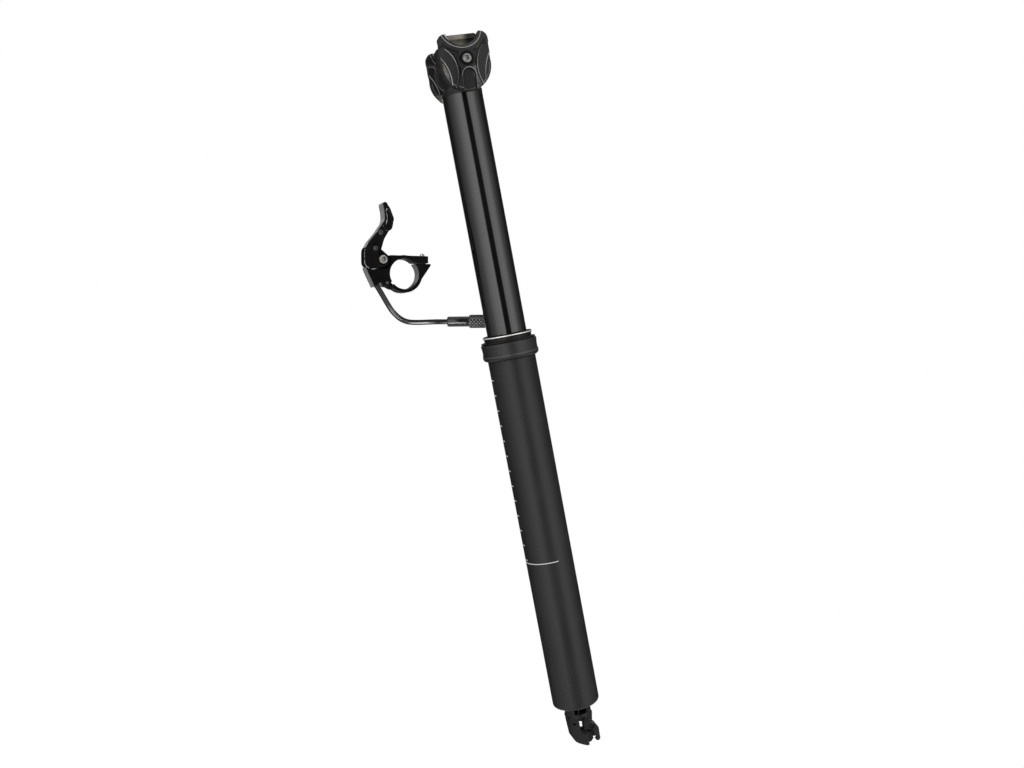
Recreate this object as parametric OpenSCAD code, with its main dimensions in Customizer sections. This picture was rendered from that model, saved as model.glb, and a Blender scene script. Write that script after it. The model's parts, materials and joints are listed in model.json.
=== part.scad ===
// Dropper seatpost: outer post, sliding stanchion, side clamp head, actuator and thumb remote.
// Millimetres. Z runs up the post, X points forward and the drive side faces -Y.
// Z = 0 is where the outer tube comes out of the collar.

/* [Post] */
// Outside diameter of the outer tube, which goes in the frame
post_d = 34.9; // [31.6:0.1:36]
// Length of the outer tube below the collar
post_l = 263; // [261:1:320]
// Wall of the outer tube
post_wall = 1.45; // [1.3:0.05:1.8]
// How far the saddle drops
travel = 170; // [100:5:170]
// Stanchion left inside the post when it is up
overlap_l = 72; // [68:1:72]
// Wall of the stanchion
stanchion_wall = 1.5; // [1.2:0.1:2]

/* [Collar] */
// Largest diameter of the collar
collar_d = 41; // [40:0.5:46]
// Height of the collar below the wiper flange
collar_h = 12.4; // [12:0.2:16]
// Height of the dust wiper above the collar
wiper_h = 5.7; // [5:0.1:7]

/* [Saddle clamp] */
// Diameter of the saddle rails
rail_d = 7; // [7:0.1:8]
// Distance between the two rails
rail_gauge = 44; // [43:0.5:46]
// Width of a clamp plate
plate_w = 35; // [34:0.5:39]
// Clamp bolt down to the lowest edge of a plate
plate_drop = 20.8; // [20:0.2:22.8]
// Clamp bolt up to the tops of the lobes
plate_rise = 18.1; // [17.5:0.1:20]
// Thickness of a clamp plate at the bolt
plate_t = 9.5; // [8:0.5:11]
// Diameter of the clamp bolt
bolt_d = 6; // [5:0.5:7]

/* [Cartridge] */
// Diameter of the piston rod
rod_d = 8; // [7:0.5:9]
// Wall of the cartridge tube
cart_wall = 1.5; // [1:0.1:2]
// Diameter of the valve pin inside the rod
pin_d = 3; // [2.4:0.2:3.4]

/* [Actuator] */
// Diameter of the actuator neck
neck_d = 19.6; // [18.6:0.2:21]
// Width of the actuator across its cheeks
cheek_w = 13; // [11.5:0.5:14]
// Thickness of the actuator lever
rocker_t = 5.2; // [4:0.2:6]

/* [Remote] */
// Diameter of the handlebar in the clamp
bar_d = 22.2; // [21.8:0.1:22.4]
// Width of the bar clamp
band_w = 10; // [9:0.5:12]
// Wall of the clamp band
band_t = 2.6; // [2.2:0.1:3]
// Width of the thumb pad
pad_w = 11; // [8:0.5:12]

/* [Cable] */
// Outside diameter of the cable housing
housing_d = 4; // [3.6:0.1:4.2]
// Diameter of the smooth adjuster sleeve
sleeve_d = 7.8; // [7:0.2:8.4]
// Diameter of the knurled adjuster barrel
barrel_d = 10.2; // [9:0.2:11]
// Loops in the hank
hank_loops = 4; // [3:1:4]

/* [Hidden] */
$fn = 64;

// Clearances: sliding or turning fits, pieces that are fixed together, and free parts
slide_gap = 0.05;
seat_gap = 0.05;
free_gap = 0.4;

// How far the straight sides of a link start inside its round ends
link_in = 0.03;

// Radii of the post, from the outside in
post_r = post_d / 2;
bore_r = post_r - post_wall;
bush_t = 1.4;
stanchion_r = bore_r - bush_t - 2 * slide_gap;
stanchion_bore = stanchion_r - stanchion_wall;
guide_t = 2;
cart_r = stanchion_bore - guide_t;
cart_bore = cart_r - cart_wall;
rod_r = rod_d / 2;
pin_r = pin_d / 2;

// Heights of the collar stack
tube_top = 8.5;
thread_r = post_r - 0.25;
flange_t = 1.4;
collar_split = 0.4;
flange_z = collar_h + collar_split;
wiper_top = collar_h + wiper_h;
wiper_rim_t = 2;

// Heights of the sliding parts when the post is up
drop_spare = 0.8;
head_z = wiper_top + travel + drop_spare;
stanchion_z = -overlap_l;
upper_bush_z = [-24, 4];
bumper_h = 3;
lower_bush_z = [-overlap_l + 22, upper_bush_z[0] - bumper_h - 1];
key_l = 14;
key_w = 3;
key_z = stanchion_z + 4;
key_out = 0.4;
keyway_d = 0.5;
key_in = stanchion_r - 0.9;

// Base of the outer tube
rim_r = 2.5;
end_l = 12;
end_bore = bore_r - 1.5;
base_z = -post_l + 1;
base_top = base_z + 13;
base_bumper_h = 2.6;
neck_r = neck_d / 2;
neck_wall = 2.2;
neck_seat = 5;

// Cartridge heights
cart_z = stanchion_z + 6;
spigot_l = 10;
cart_top = head_z - spigot_l - 10;
plug_in = 8;
gland_h = 10;
piston_z = cart_z + 14;
piston_h = 10;
piston_top = piston_z + piston_h;
nut_h = 4;
seal_h = 3;
seal_depth = 1.4;
rod_share = pow(rod_r / cart_bore, 2);
float_h = 12;
float_z = piston_top + nut_h + travel * (1 - rod_share) + 4;

// Clamp head, measured from the bolt axis
bolt_x = 0.8;
bolt_z = head_z + 18.6;
clamp_tilt = 1.2;
cove_r = 9;
cove_rise = 10;
bolt_r = bolt_d / 2;
barrel_r = 12.5;
barrel_half = 13;
split_gap = 1;
rail_y = rail_gauge / 2;
rail_r = rail_d / 2;
rail_rise = 11.7;
plate_in = rail_y + split_gap / 2;
plate_out = plate_in + plate_t;
cradle_out = rail_y - split_gap / 2;
lobe_r = 5;
arch_r = 11.8;
arch_rise = plate_rise + 3.4;
arch_bevel = 2.5;
arm_w = 2.8;
dome_r = 60;
petal_at = [28.3, -6.7];
petal_r = 21.6;
petal_top = 8.8;
petal_groove = 1.3;
leaf_at = [41.5, -13.9];
leaf_r = 29.2;
base_sink = 3.4;
petal_sink = 1.9;
rim_sink = 2.7;
rim_w = 1.2;
cradle_rise = plate_rise + 0.4;
cradle_corner = 2.2;
cradle_r = 13.6;
cradle_half = 11.6;
relief_at = [7.4, -6.6];
relief_r = 2.6;
rail_wall = 1.5;
hollow_x = [4.9, 14.6];
foot_r = 4.5;
foot_z = -10.8;
nut_r = 4.7;
nut_t = 4;
head_t = 4;

// Actuator: pivot of the lever, its nose under the valve pin and its hook
neck_z = base_z + neck_seat - seat_gap;
act_z = base_z - 1.8;
floor_z = act_z - 6;
floor_t = 2.5;
pivot = [5.2, act_z - 12.5];
pivot_pin_r = 1.5;
pivot_lobe_r = 3;
nose_r = 1.5;
nose = [0, pivot[1] + 0.3];
pin_end = nose[1] + nose_r + 0.3;
lug_out = 1.6;
elbow = [4.6, act_z - 18.6];
elbow_r = 2.9;
hook_top = [9.9, act_z - 21];
hook_top_r = 2.3;
hook_end = [10.1, act_z - 28.4];
hook_end_r = 1.9;
fork_top = act_z - 22.6;
body_low = act_z - 31.5;
stop_z = act_z - 27.5;
window_w = 9.2;
window_sill = 0.4;
tongue_x = [2.8, 7.6];
tongue_rise = [21.9, 25];
tongue_w = 4.6;
wire_r = 0.8;

// Remote: its place and lean beside the post, then points measured from the bar's centre
remote_at = [-62, 32, 74];
remote_yaw = 12;
remote_lean = 10.7;
bar_r = bar_d / 2;
band_r = bar_r + band_t;
band_y = band_w / 2;
hinge = [-13.4, -6.9];
hinge_pin_r = 1.2;
knuckle_r = 2.6;
knuckle_y = 2.4;
lug_split = 8;
lug_gap = 0.6;
arm_top = bar_r + 2.3;
flange_low = 5.2;
screw_x = bar_r + 4.5;
screw_r = 1.75;
screw_head_r = 2.4;
screw_head_h = 2.2;
spot_face = 0.15;
screw_tip = arm_top + 2.3;
lever_at = [-16.5, 10];
lever_hub_r = 5.2;
boss_r = 6.3;
lever_front = 3.7;
lever_back = 3.6;
lever_bolt_r = 2.2;
lever_head_r = lever_bolt_r + 0.9;
lever_screw_r = 1;
lever_screw_head_r = 1.9;
lever_bush_t = 0.7;
arm_at = [-24.9, 8.5];
arm_r = 5.4;
anchor_at = [-26.4, 8.4];
anchor_r = 2;
anchor_front = -3.4;
lever_screw_at = [[-22, 17.9], [-18, 29.6]];
exit_at = [-20.4, -8.2];
exit_turn = -54;
exit_depth = 2.5;
exit_gap = 0.15;

// Rounds along the thumb lever's blade and pad: place in X and Z, then radius
blade = [[[-24, 14.8], 6.2], [[-22.4, 19.2], 5.4], [[-18.3, 26.5], 3.7], [[-12.6, 35.2], 3.4]];
pad = [[[-12.2, 34.5], 3.6], [[-11, 39.5], 3.5], [[-12.2, 45.5], 2.6], [[-14, 50], 1.7]];
dish = [[[-11.7, 35.6], 1.9], [[-10.8, 40], 1.8], [[-12.2, 45.6], 1.2]];
dish_depth = 0.5;

// Corners of the remote's body under the lever, from the hub round to the jaw's hinge
body_top = [[-18, 8], [-19, 6.5], [-29.6, 6.5]];
body_left = [[-28.6, 2.6], [-26.9, -1.4]];
body_low_right = [[-16.5, -9.4], hinge + [1.6, -2], [-9.4, -5], [-8, 6]];
jaw_wedge = [[10.9, -7], [20.3, 6.2]];

// Cable: direction that lies straight behind the post, and the route in that frame
behind_turn = -12.5;
adjuster_from = [-43, 44, 33.1];
adjuster_tilt = 10;
sleeve_l = 16.5;
barrel_l = 20;
front_route = [
    [-81.5, 13, 53.7], [-79.2, 16, 47.9], [-75.5, 20, 42.4], [-70.8, 25, 38.9],
    [-64.2, 31.5, 37], [-57.8, 37.5, 35.8], [-51, 42, 34.6], [-46, 43.8, 33.6]];
hank_at = [0, 44, -88];
hank_run = 76;
hank_fold = 12;
hank_waist = 9;
hank_step = housing_d + 0.8;
tail_l = 30;
ferrule_l = 12;

// Round ring or bush between two heights
module ring(outer, inner, z0, z1) {
    difference() {
        translate([0, 0, z0]) cylinder(r = outer, h = z1 - z0);
        translate([0, 0, z0 - 1]) cylinder(r = inner, h = z1 - z0 + 2);
    }
}

// Flat shape drawn in X and Z, given a thickness from y0 to y1
module slab(y0, y1) {
    translate([0, y1, 0])
        rotate([90, 0, 0])
            linear_extrude(height = y1 - y0) children();
}

// Round bar along Y from y0 to y1 at a point in X and Z
module y_rod(at, r, y0, y1) {
    slab(y0, y1) translate(at) circle(r = r);
}

// Two round ends joined by straight sides, which start just inside the rounds and cross them
module link(a, ra, b, rb) {
    run = norm(b - a);
    turn = atan2(b[1] - a[1], b[0] - a[0]);
    lean = acos((ra - rb) / run);
    ia = ra - link_in;
    ib = rb - link_in;
    translate(a) circle(r = ra);
    translate(b) circle(r = rb);
    translate(a) rotate(turn)
        polygon([
            [ia * cos(lean), ia * sin(lean)],
            [ia * cos(lean), -ia * sin(lean)],
            [run + ib * cos(lean), -ib * sin(lean)],
            [run + ib * cos(lean), ib * sin(lean)]]);
}

// Links along a list of rounds
module chain(rounds) {
    for (k = [0:len(rounds) - 2])
        link(rounds[k][0], rounds[k][1], rounds[k + 1][0], rounds[k + 1][1]);
}

// Hexagon given across its flats
module hexagon(flats) {
    circle(r = flats / sqrt(3), $fn = 6);
}

module in_clamp() {
    translate([bolt_x, 0, bolt_z]) rotate([0, clamp_tilt, 0]) children();
}

module in_remote() {
    translate(remote_at) rotate([0, 0, remote_yaw]) rotate([0, remote_lean, 0]) children();
}

// Outer tube with a rounded rim, a thick threaded end and three keyways
module outer_tube() {
    color([0.045, 0.045, 0.05])
    difference() {
        rotate_extrude() {
            translate([0, -post_l + rim_r]) square([post_r, post_l - rim_r]);
            square([thread_r, tube_top]);
            translate([0, -post_l]) square([post_r - rim_r, rim_r]);
            translate([post_r - rim_r, -post_l + rim_r]) circle(r = rim_r);
        }
        translate([0, 0, -post_l - 1]) cylinder(r = end_bore, h = post_l);
        translate([0, 0, -post_l + end_l]) cylinder(r = bore_r, h = post_l + tube_top);
        for (turn = [0, 120, 240])
            rotate([0, 0, turn])
                translate([0, -key_w / 2 - 0.1, -post_l + end_l])
                    cube([bore_r + keyway_d, key_w + 0.2, post_l + tube_top]);
    }
}

// Collar: waisted body that screws over the tube and holds the wiper
module seal_head() {
    belly = collar_d / 2;
    color([0.05, 0.05, 0.055])
    difference() {
        rotate_extrude() {
            translate([belly - 3, 3.1]) circle(r = 3);
            polygon([
                [0, 0.1], [belly - 3, 0.1], [belly, 3.1], [belly - 0.5, 5.9], [belly - 0.5, 7.8],
                [belly - 0.1, collar_h - 0.8], [belly - 0.4, collar_h], [0, collar_h]]);
        }
        translate([0, 0, -1]) cylinder(r = thread_r + seat_gap, h = tube_top + seat_gap + 1);
        cylinder(r = bore_r - 0.4, h = collar_h + 1);
        translate([0, 0, tube_top + 1]) cylinder(r = bore_r + 0.7, h = collar_h);
    }
}

// Dust wiper: flange with a sloped top, groove, rim and two lips on the stanchion
module dust_wiper() {
    flange_r = collar_d / 2 - 0.6;
    rim = post_r + 0.4;
    color([0.06, 0.06, 0.065])
    difference() {
        rotate_extrude()
            polygon([
                [stanchion_r + slide_gap, tube_top + 1.2], [bore_r + 0.6, tube_top + 1.2],
                [bore_r + 0.6, flange_z], [flange_r - 0.3, flange_z], [flange_r, flange_z + 0.3],
                [flange_r, flange_z + flange_t - 0.6], [rim - 0.6, flange_z + flange_t],
                [rim - 0.6, wiper_top - wiper_rim_t], [rim - 0.2, wiper_top - wiper_rim_t],
                [rim, wiper_top - wiper_rim_t + 0.3], [rim, wiper_top - 0.5],
                [rim - 0.5, wiper_top], [stanchion_r + 0.6, wiper_top],
                [stanchion_r + slide_gap, wiper_top - 1], [stanchion_r + 0.5, wiper_top - 2.2],
                [stanchion_r + 0.5, tube_top + 2.6]]);
        rotate_extrude() translate([rim, wiper_top - wiper_rim_t / 2]) circle(r = 0.5, $fn = 24);
    }
}

// Bright wire ring that keeps the wiper lip on the stanchion
module wiper_ring() {
    color([0.8, 0.8, 0.82])
    rotate_extrude()
        translate([post_r + 0.4, wiper_top - wiper_rim_t / 2]) circle(r = 0.45, $fn = 24);
}

module upper_bushing() {
    color([0.35, 0.33, 0.3])
    ring(bore_r - seat_gap, stanchion_r + slide_gap, upper_bush_z[0], upper_bush_z[1]);
}

// Oil seal above the bushing
module seal_ring() {
    color([0.03, 0.03, 0.03])
    ring(bore_r - seat_gap, stanchion_r + slide_gap, upper_bush_z[1] + seat_gap, tube_top);
}

module top_out_bumper() {
    color([0.08, 0.08, 0.08])
    ring(bore_r - seat_gap, stanchion_r + free_gap, upper_bush_z[0] - bumper_h, upper_bush_z[0]);
}

// Threaded cap that carries the piston rod and the actuator neck
module base_cap() {
    color([0.07, 0.07, 0.075])
    difference() {
        ring(end_bore - seat_gap, rod_r + seat_gap, base_z, base_top);
        translate([0, 0, base_z - 1]) cylinder(r = neck_r + seat_gap, h = neck_seat + 1);
    }
}

module bottom_bumper() {
    color([0.08, 0.08, 0.08])
    ring(end_bore - 1, end_bore - 5, base_top, base_top + base_bumper_h);
}

// Stanchion tube with pockets for the guide keys
module stanchion() {
    color([0.03, 0.03, 0.033])
    difference() {
        ring(stanchion_r, stanchion_bore, stanchion_z, head_z);
        for (turn = [0, 120, 240])
            rotate([0, 0, turn])
                translate([key_in, -key_w / 2 - seat_gap, key_z - seat_gap])
                    cube([5, key_w + 2 * seat_gap, key_l + 2 * seat_gap]);
    }
}

module lower_bushing() {
    color([0.35, 0.33, 0.3])
    ring(bore_r - slide_gap, stanchion_r + seat_gap, lower_bush_z[0], lower_bush_z[1]);
}

module guide_keys() {
    color([0.72, 0.55, 0.25])
    for (turn = [0, 120, 240])
        rotate([0, 0, turn])
            translate([key_in + seat_gap, -key_w / 2, key_z])
                cube([bore_r + key_out - key_in - seat_gap, key_w, key_l]);
}

// Head: spigot in the stanchion, waisted neck and the barrel that the cradles turn on
module saddle_head() {
    waist = barrel_r - 1.5;
    color([0.05, 0.05, 0.055])
    difference() {
        union() {
            translate([0, 0, head_z - spigot_l])
                cylinder(r = stanchion_bore - seat_gap, h = spigot_l + 1);
            translate([0, 0, head_z])
                rotate_extrude()
                    difference() {
                        square([stanchion_r, bolt_z - head_z]);
                        translate([waist + cove_r, cove_rise]) circle(r = cove_r);
                        translate([waist, cove_rise]) square(3 * cove_r);
                    }
            y_rod([bolt_x, bolt_z], barrel_r, -barrel_half, barrel_half);
        }
        y_rod([bolt_x, bolt_z], bolt_r + seat_gap, -barrel_half - 1, barrel_half + 1);
        translate([0, 0, head_z - spigot_l - 1]) cylinder(r = 5 + seat_gap, h = spigot_l + 4.5);
        for (side = [-1, 1])
            translate([bolt_x + side * (waist + 2), 0, bolt_z + 3])
                rotate([90, 0, 0]) cylinder(r = 3.5, h = 2 * barrel_half - 8, center = true);
    }
}

// Inner cradle for one rail, on the barrel end of the head
module cradle() {
    flat = cradle_half - cradle_corner;
    difference() {
        slab(-cradle_out, -barrel_half - seat_gap) {
            circle(r = cradle_r);
            translate([-cradle_half, 0]) square([2 * cradle_half, cradle_rise - cradle_corner]);
            translate([-flat, 0]) square([2 * flat, cradle_rise]);
            for (side = [-1, 1])
                translate([side * flat, cradle_rise - cradle_corner]) circle(r = cradle_corner);
        }
        y_rod([0, 0], bolt_r + seat_gap, -40, 0);
        translate([0, -rail_y, rail_rise]) rotate([0, 90, 0]) cylinder(r = rail_r, h = 80, center = true);
        for (side = [-1, 1])
            y_rod([side * relief_at[0], relief_at[1]], relief_r, -cradle_out - 1, -barrel_half - 3.5);
    }
}

module cradle_near() {
    color([0.3, 0.28, 0.26]) in_clamp() cradle();
}

module cradle_far() {
    color([0.3, 0.28, 0.26]) in_clamp() mirror([0, 1, 0]) cradle();
}

// Outline of a clamp plate: round foot, straight sides and two lobes round an arch
module plate_outline() {
    foot = plate_drop - plate_w / 2;
    difference() {
        union() {
            translate([0, -foot]) circle(d = plate_w);
            translate([-plate_w / 2, -foot]) square([plate_w, foot + plate_rise - lobe_r]);
            translate([-plate_w / 2 + lobe_r, 0]) square([plate_w - 2 * lobe_r, plate_rise]);
            for (side = [-1, 1])
                translate([side * (plate_w / 2 - lobe_r), plate_rise - lobe_r]) circle(r = lobe_r);
        }
        translate([0, arch_rise]) circle(r = arch_r);
    }
}

// Raised petals beside the middle of a plate, and the hollows above them
module petal(grow) {
    for (side = [-1, 1])
        intersection() {
            translate([side * petal_at[0], petal_at[1]]) circle(r = petal_r + grow);
            translate([-plate_w, -plate_w]) square([2 * plate_w, plate_w + petal_top + grow]);
        }
}

module side_hollow() {
    for (side = [-1, 1])
        difference() {
            translate([side > 0 ? hollow_x[0] : -hollow_x[1], -4])
                square([hollow_x[1] - hollow_x[0], plate_rise]);
            translate([0, arch_rise]) circle(r = arch_r + arch_bevel + arm_w);
        }
}

module leaf() {
    for (side = [-1, 1])
        translate([side * leaf_at[0], leaf_at[1]]) circle(r = leaf_r);
}

// Arched pocket under the bolt
module foot_pocket() {
    translate([0, foot_z]) circle(r = foot_r);
    translate([-foot_r, -plate_drop - 1]) square([2 * foot_r, plate_drop + 1 + foot_z]);
}

// One level of the plate: its shape cut by a dome that lies a depth below the crown
module plate_level(depth) {
    intersection() {
        slab(-plate_out - 1, -plate_in) children();
        translate([0, dome_r - plate_out, 0]) sphere(r = dome_r - depth, $fn = 96);
    }
}

// Clamp plate: sunk base, raised petals, and a middle rib shaped like a Y above two legs
module clamp_plate() {
    difference() {
        union() {
            plate_level(base_sink) plate_outline();
            slab(-rail_y - rail_r - rail_wall, -plate_in) intersection() {
                plate_outline();
                translate([-plate_w, rail_rise - rail_r - rail_wall])
                    square([2 * plate_w, 2 * (rail_r + rail_wall)]);
            }
            plate_level(petal_sink) intersection() {
                plate_outline();
                difference() {
                    petal(0);
                    leaf();
                }
            }
            plate_level(0) difference() {
                plate_outline();
                petal(petal_groove);
                side_hollow();
                foot_pocket();
            }
            plate_level(rim_sink) difference() {
                plate_outline();
                translate([0, -plate_drop + plate_w / 2]) circle(d = plate_w - 2 * rim_w);
                translate([-plate_w, -2]) square([2 * plate_w, plate_w]);
            }
        }
        y_rod([0, 0], bolt_r + seat_gap, -50, 0);
        y_rod([0, 0], nut_r + seat_gap, -50, -plate_out + nut_t);
        translate([0, -plate_out - 0.5, arch_rise])
            rotate([-90, 0, 0]) cylinder(r1 = arch_r + arch_bevel, r2 = arch_r, h = 4.5);
        translate([0, -rail_y, rail_rise]) rotate([0, 90, 0]) cylinder(r = rail_r, h = 80, center = true);
    }
}

module plate_near() {
    color([0.07, 0.07, 0.075]) in_clamp() clamp_plate();
}

module plate_far() {
    color([0.07, 0.07, 0.075]) in_clamp() mirror([0, 1, 0]) clamp_plate();
}

// Bolt with its socket head in the far plate and its tip in the near nut
module clamp_bolt() {
    color([0.75, 0.75, 0.76])
    in_clamp()
        difference() {
            union() {
                y_rod([0, 0], bolt_r, -plate_out - 0.2, plate_out);
                y_rod([0, 0], nut_r, plate_out - nut_t + 0.8, plate_out - nut_t + 0.8 + head_t);
            }
            slab(plate_out - 2, plate_out + 9) hexagon(5);
            slab(-plate_out - 1, -plate_out + 1.5) hexagon(bolt_d / 2);
        }
}

module bolt_washer() {
    color([0.6, 0.6, 0.6])
    in_clamp()
        difference() {
            y_rod([0, 0], nut_r, plate_out - nut_t, plate_out - nut_t + 0.8);
            y_rod([0, 0], bolt_r + seat_gap, 0, 60);
        }
}

module clamp_nut() {
    color([0.08, 0.08, 0.085])
    in_clamp()
        difference() {
            y_rod([0, 0], nut_r, -plate_out - 0.2, -plate_out + nut_t - seat_gap);
            y_rod([0, 0], bolt_r + seat_gap, -60, 0);
        }
}

module cartridge_tube() {
    color([0.7, 0.7, 0.72])
    ring(cart_r, cart_bore, cart_z, cart_top);
}

// Plug that closes the gas end and screws into the head
module cartridge_plug() {
    color([0.55, 0.56, 0.58]) {
        translate([0, 0, cart_top - plug_in]) cylinder(r = cart_bore - seat_gap, h = plug_in);
        translate([0, 0, cart_top]) cylinder(r = cart_r, h = head_z - spigot_l - cart_top);
        translate([0, 0, cart_top]) cylinder(r = 5, h = head_z - cart_top + 3);
    }
}

module cartridge_guide() {
    color([0.1, 0.1, 0.1])
    ring(stanchion_bore - seat_gap, cart_r + seat_gap, cart_z + 2, cart_z + 10);
}

// Gland with a groove for the rod seal
module gland() {
    groove = cart_z + gland_h / 2;
    color([0.5, 0.5, 0.52])
    difference() {
        union() {
            translate([0, 0, cart_z]) cylinder(r = cart_bore - seat_gap, h = gland_h);
            translate([0, 0, cart_z - 3]) cylinder(r = cart_r, h = 3);
        }
        translate([0, 0, cart_z - 9]) cylinder(r = rod_r + slide_gap, h = gland_h + 20);
        ring(rod_r + 2.3, rod_r - 1, groove - 1.2, groove + 1.2);
    }
}

module gland_seal() {
    color([0.03, 0.03, 0.03])
    rotate_extrude()
        translate([rod_r + slide_gap + 1.1, cart_z + gland_h / 2]) circle(r = 1.1, $fn = 24);
}

// Grooved disc that slides in the cartridge
module grooved_disc(z, h, hole) {
    mid = z + h / 2;
    difference() {
        translate([0, 0, z]) cylinder(r = cart_bore - 0.1, h = h);
        ring(cart_bore + 1, cart_bore - seal_depth, mid - seal_h / 2, mid + seal_h / 2);
        if (hole > 0) translate([0, 0, z - 1]) cylinder(r = hole, h = h + 2);
    }
}

module groove_seal(z, h) {
    mid = z + h / 2;
    ring(cart_bore - slide_gap, cart_bore - seal_depth + seat_gap,
         mid - seal_h / 2 + seat_gap, mid + seal_h / 2 - seat_gap);
}

module piston() {
    color([0.5, 0.5, 0.53]) grooved_disc(piston_z, piston_h, rod_r + seat_gap);
}

module piston_seal() {
    color([0.03, 0.03, 0.03]) groove_seal(piston_z, piston_h);
}

module piston_nut() {
    color([0.6, 0.6, 0.62])
    difference() {
        translate([0, 0, piston_top]) linear_extrude(height = nut_h) hexagon(2 * rod_r + 4);
        translate([0, 0, piston_top - 1]) cylinder(r = rod_r + seat_gap, h = nut_h + 2);
    }
}

// Hollow rod that stands on the base cap
module piston_rod() {
    low = neck_z - 7;
    color([0.75, 0.75, 0.77])
    difference() {
        translate([0, 0, low]) cylinder(r = rod_r, h = piston_top + nut_h - low);
        translate([0, 0, low - 1]) cylinder(r = pin_r + slide_gap, h = piston_z - low + 4);
    }
}

module rod_nut() {
    color([0.6, 0.6, 0.62])
    difference() {
        translate([0, 0, neck_z - 6 + seat_gap]) linear_extrude(height = 6) hexagon(2 * rod_r + 3.8);
        translate([0, 0, neck_z - 9]) cylinder(r = rod_r + seat_gap, h = 12);
    }
}

module floating_piston() {
    color([0.65, 0.62, 0.4]) grooved_disc(float_z, float_h, 0);
}

module floating_seal() {
    color([0.03, 0.03, 0.03]) groove_seal(float_z, float_h);
}

module valve_pin() {
    color([0.75, 0.75, 0.77])
    translate([0, 0, pin_end]) cylinder(r = pin_r, h = piston_z - pin_end);
}

// Bracket: neck in the base cap, left column, two cheeks for the lever and a cable stop below
module actuator_bracket() {
    cheek_y = cheek_w / 2;
    slot_y = rocker_t / 2 + free_gap;
    under = floor_z - floor_t;
    color([0.09, 0.09, 0.095])
    difference() {
        union() {
            rotate_extrude()
                polygon([
                    [pin_r + 0.3, under], [neck_r, under], [neck_r, neck_z],
                    [neck_r - neck_wall, neck_z], [neck_r - neck_wall, floor_z], [pin_r + 0.3, floor_z]]);
            slab(-cheek_y, cheek_y) {
                polygon([
                    [-neck_r + 0.5, under + 1], [-2, under + 1], [-2, act_z - 19.4], [0, act_z - 22.4],
                    [tongue_x[0], act_z - tongue_rise[0]], [tongue_x[1], act_z - tongue_rise[1]],
                    [tongue_x[1], body_low + 2.4], [5.6, body_low + 0.4], [3.6, body_low],
                    [0.6, body_low], [-5, body_low + 3.2], [-7.3, act_z - 26.2],
                    [-8.5, act_z - 24], [-neck_r + 0.8, act_z - 15]]);
            }
            for (y = [-cheek_y, slot_y])
                slab(y, y + cheek_y - slot_y)
                    link(pivot, pivot_lobe_r, [pivot[0] + lug_out, floor_z - 1], pivot_lobe_r - 0.6);
        }
        y_rod(pivot, pivot_pin_r + seat_gap, -20, 20);
        for (y = [tongue_w / 2, -tongue_w / 2 - 20])
            translate([tongue_x[0], y, body_low - 1]) cube([9, 20, 11.5]);
        translate([-window_w / 2, -neck_r - 1, floor_z + window_sill])
            cube([window_w, neck_r, base_z - 2 * window_sill - floor_z - window_sill]);
        translate([-20, 0, stop_z]) rotate([0, 90, 0]) cylinder(r = housing_d / 2 + 0.1, h = 18.5);
        translate([-20, 0, stop_z]) rotate([0, 90, 0]) cylinder(r = wire_r + 0.3, h = 40);
        y_rod([-5.8, act_z - 13], 1, -20, 20);
    }
}

// Rocker: nose under the valve pin, arm down the right side and a forked hook for the wire
module actuator_lever() {
    prong_y = cheek_w / 2 - 0.6;
    color([0.1, 0.1, 0.105])
    difference() {
        union() {
            slab(-rocker_t / 2, rocker_t / 2) {
                link(pivot, pivot_lobe_r - 0.2, nose, nose_r);
                link(pivot, pivot_lobe_r - 0.2, elbow, elbow_r);
                link(elbow, elbow_r, hook_top, hook_top_r);
            }
            slab(-prong_y, prong_y) link(hook_top, hook_top_r, hook_end, hook_end_r);
        }
        y_rod(pivot, pivot_pin_r + slide_gap, -20, 20);
        translate([0, -tongue_w / 2 - free_gap, body_low])
            cube([20, tongue_w + 2 * free_gap, fork_top - body_low]);
        y_rod([hook_end[0] - hook_end_r, hook_end[1] + 1], 1.2, -20, 20);
    }
}

module actuator_pin() {
    color([0.7, 0.7, 0.72])
    y_rod(pivot, pivot_pin_r, -cheek_w / 2 - 0.4, cheek_w / 2 + 0.4);
}

// Half of the plane on one side of a line through the bar's centre
module half_plane(turn, side) {
    rotate(turn) translate([-60, side > 0 ? 0 : -60]) square([120, 60]);
}

// Part of the jaw beside its hinge, also cut out of the bracket with a gap
module knuckle(grow) {
    link(hinge, knuckle_r + grow, [-9.6, -9], knuckle_r - 0.2 + grow);
}

// Outline of the remote's fixed half: upper band, arm, lever boss and cable body
module bracket_outline() {
    low = lug_split + lug_gap / 2;
    exit_side = 3 * [-sin(exit_turn), cos(exit_turn)];
    difference() {
        circle(r = band_r);
        half_plane(30, -1);
        translate([0.5, low - 60]) square([60, 60]);
    }
    polygon([
        [-12, bar_r - 2], [0, bar_r - 2], [7, low],
        [screw_x + 3, low], [screw_x + 3, arm_top], [-12, arm_top]]);
    translate(lever_at) circle(r = boss_r);
    difference() {
        polygon(concat(
            body_top, body_left, [exit_at - exit_side, exit_at + exit_side], body_low_right,
            [[-10.2, arm_top - 0.2], lever_at + [2, boss_r - 0.6]]));
        link(lever_at, lever_hub_r + free_gap, arm_at, arm_r + free_gap);
    }
    translate(hinge) circle(r = knuckle_r);
}

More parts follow.
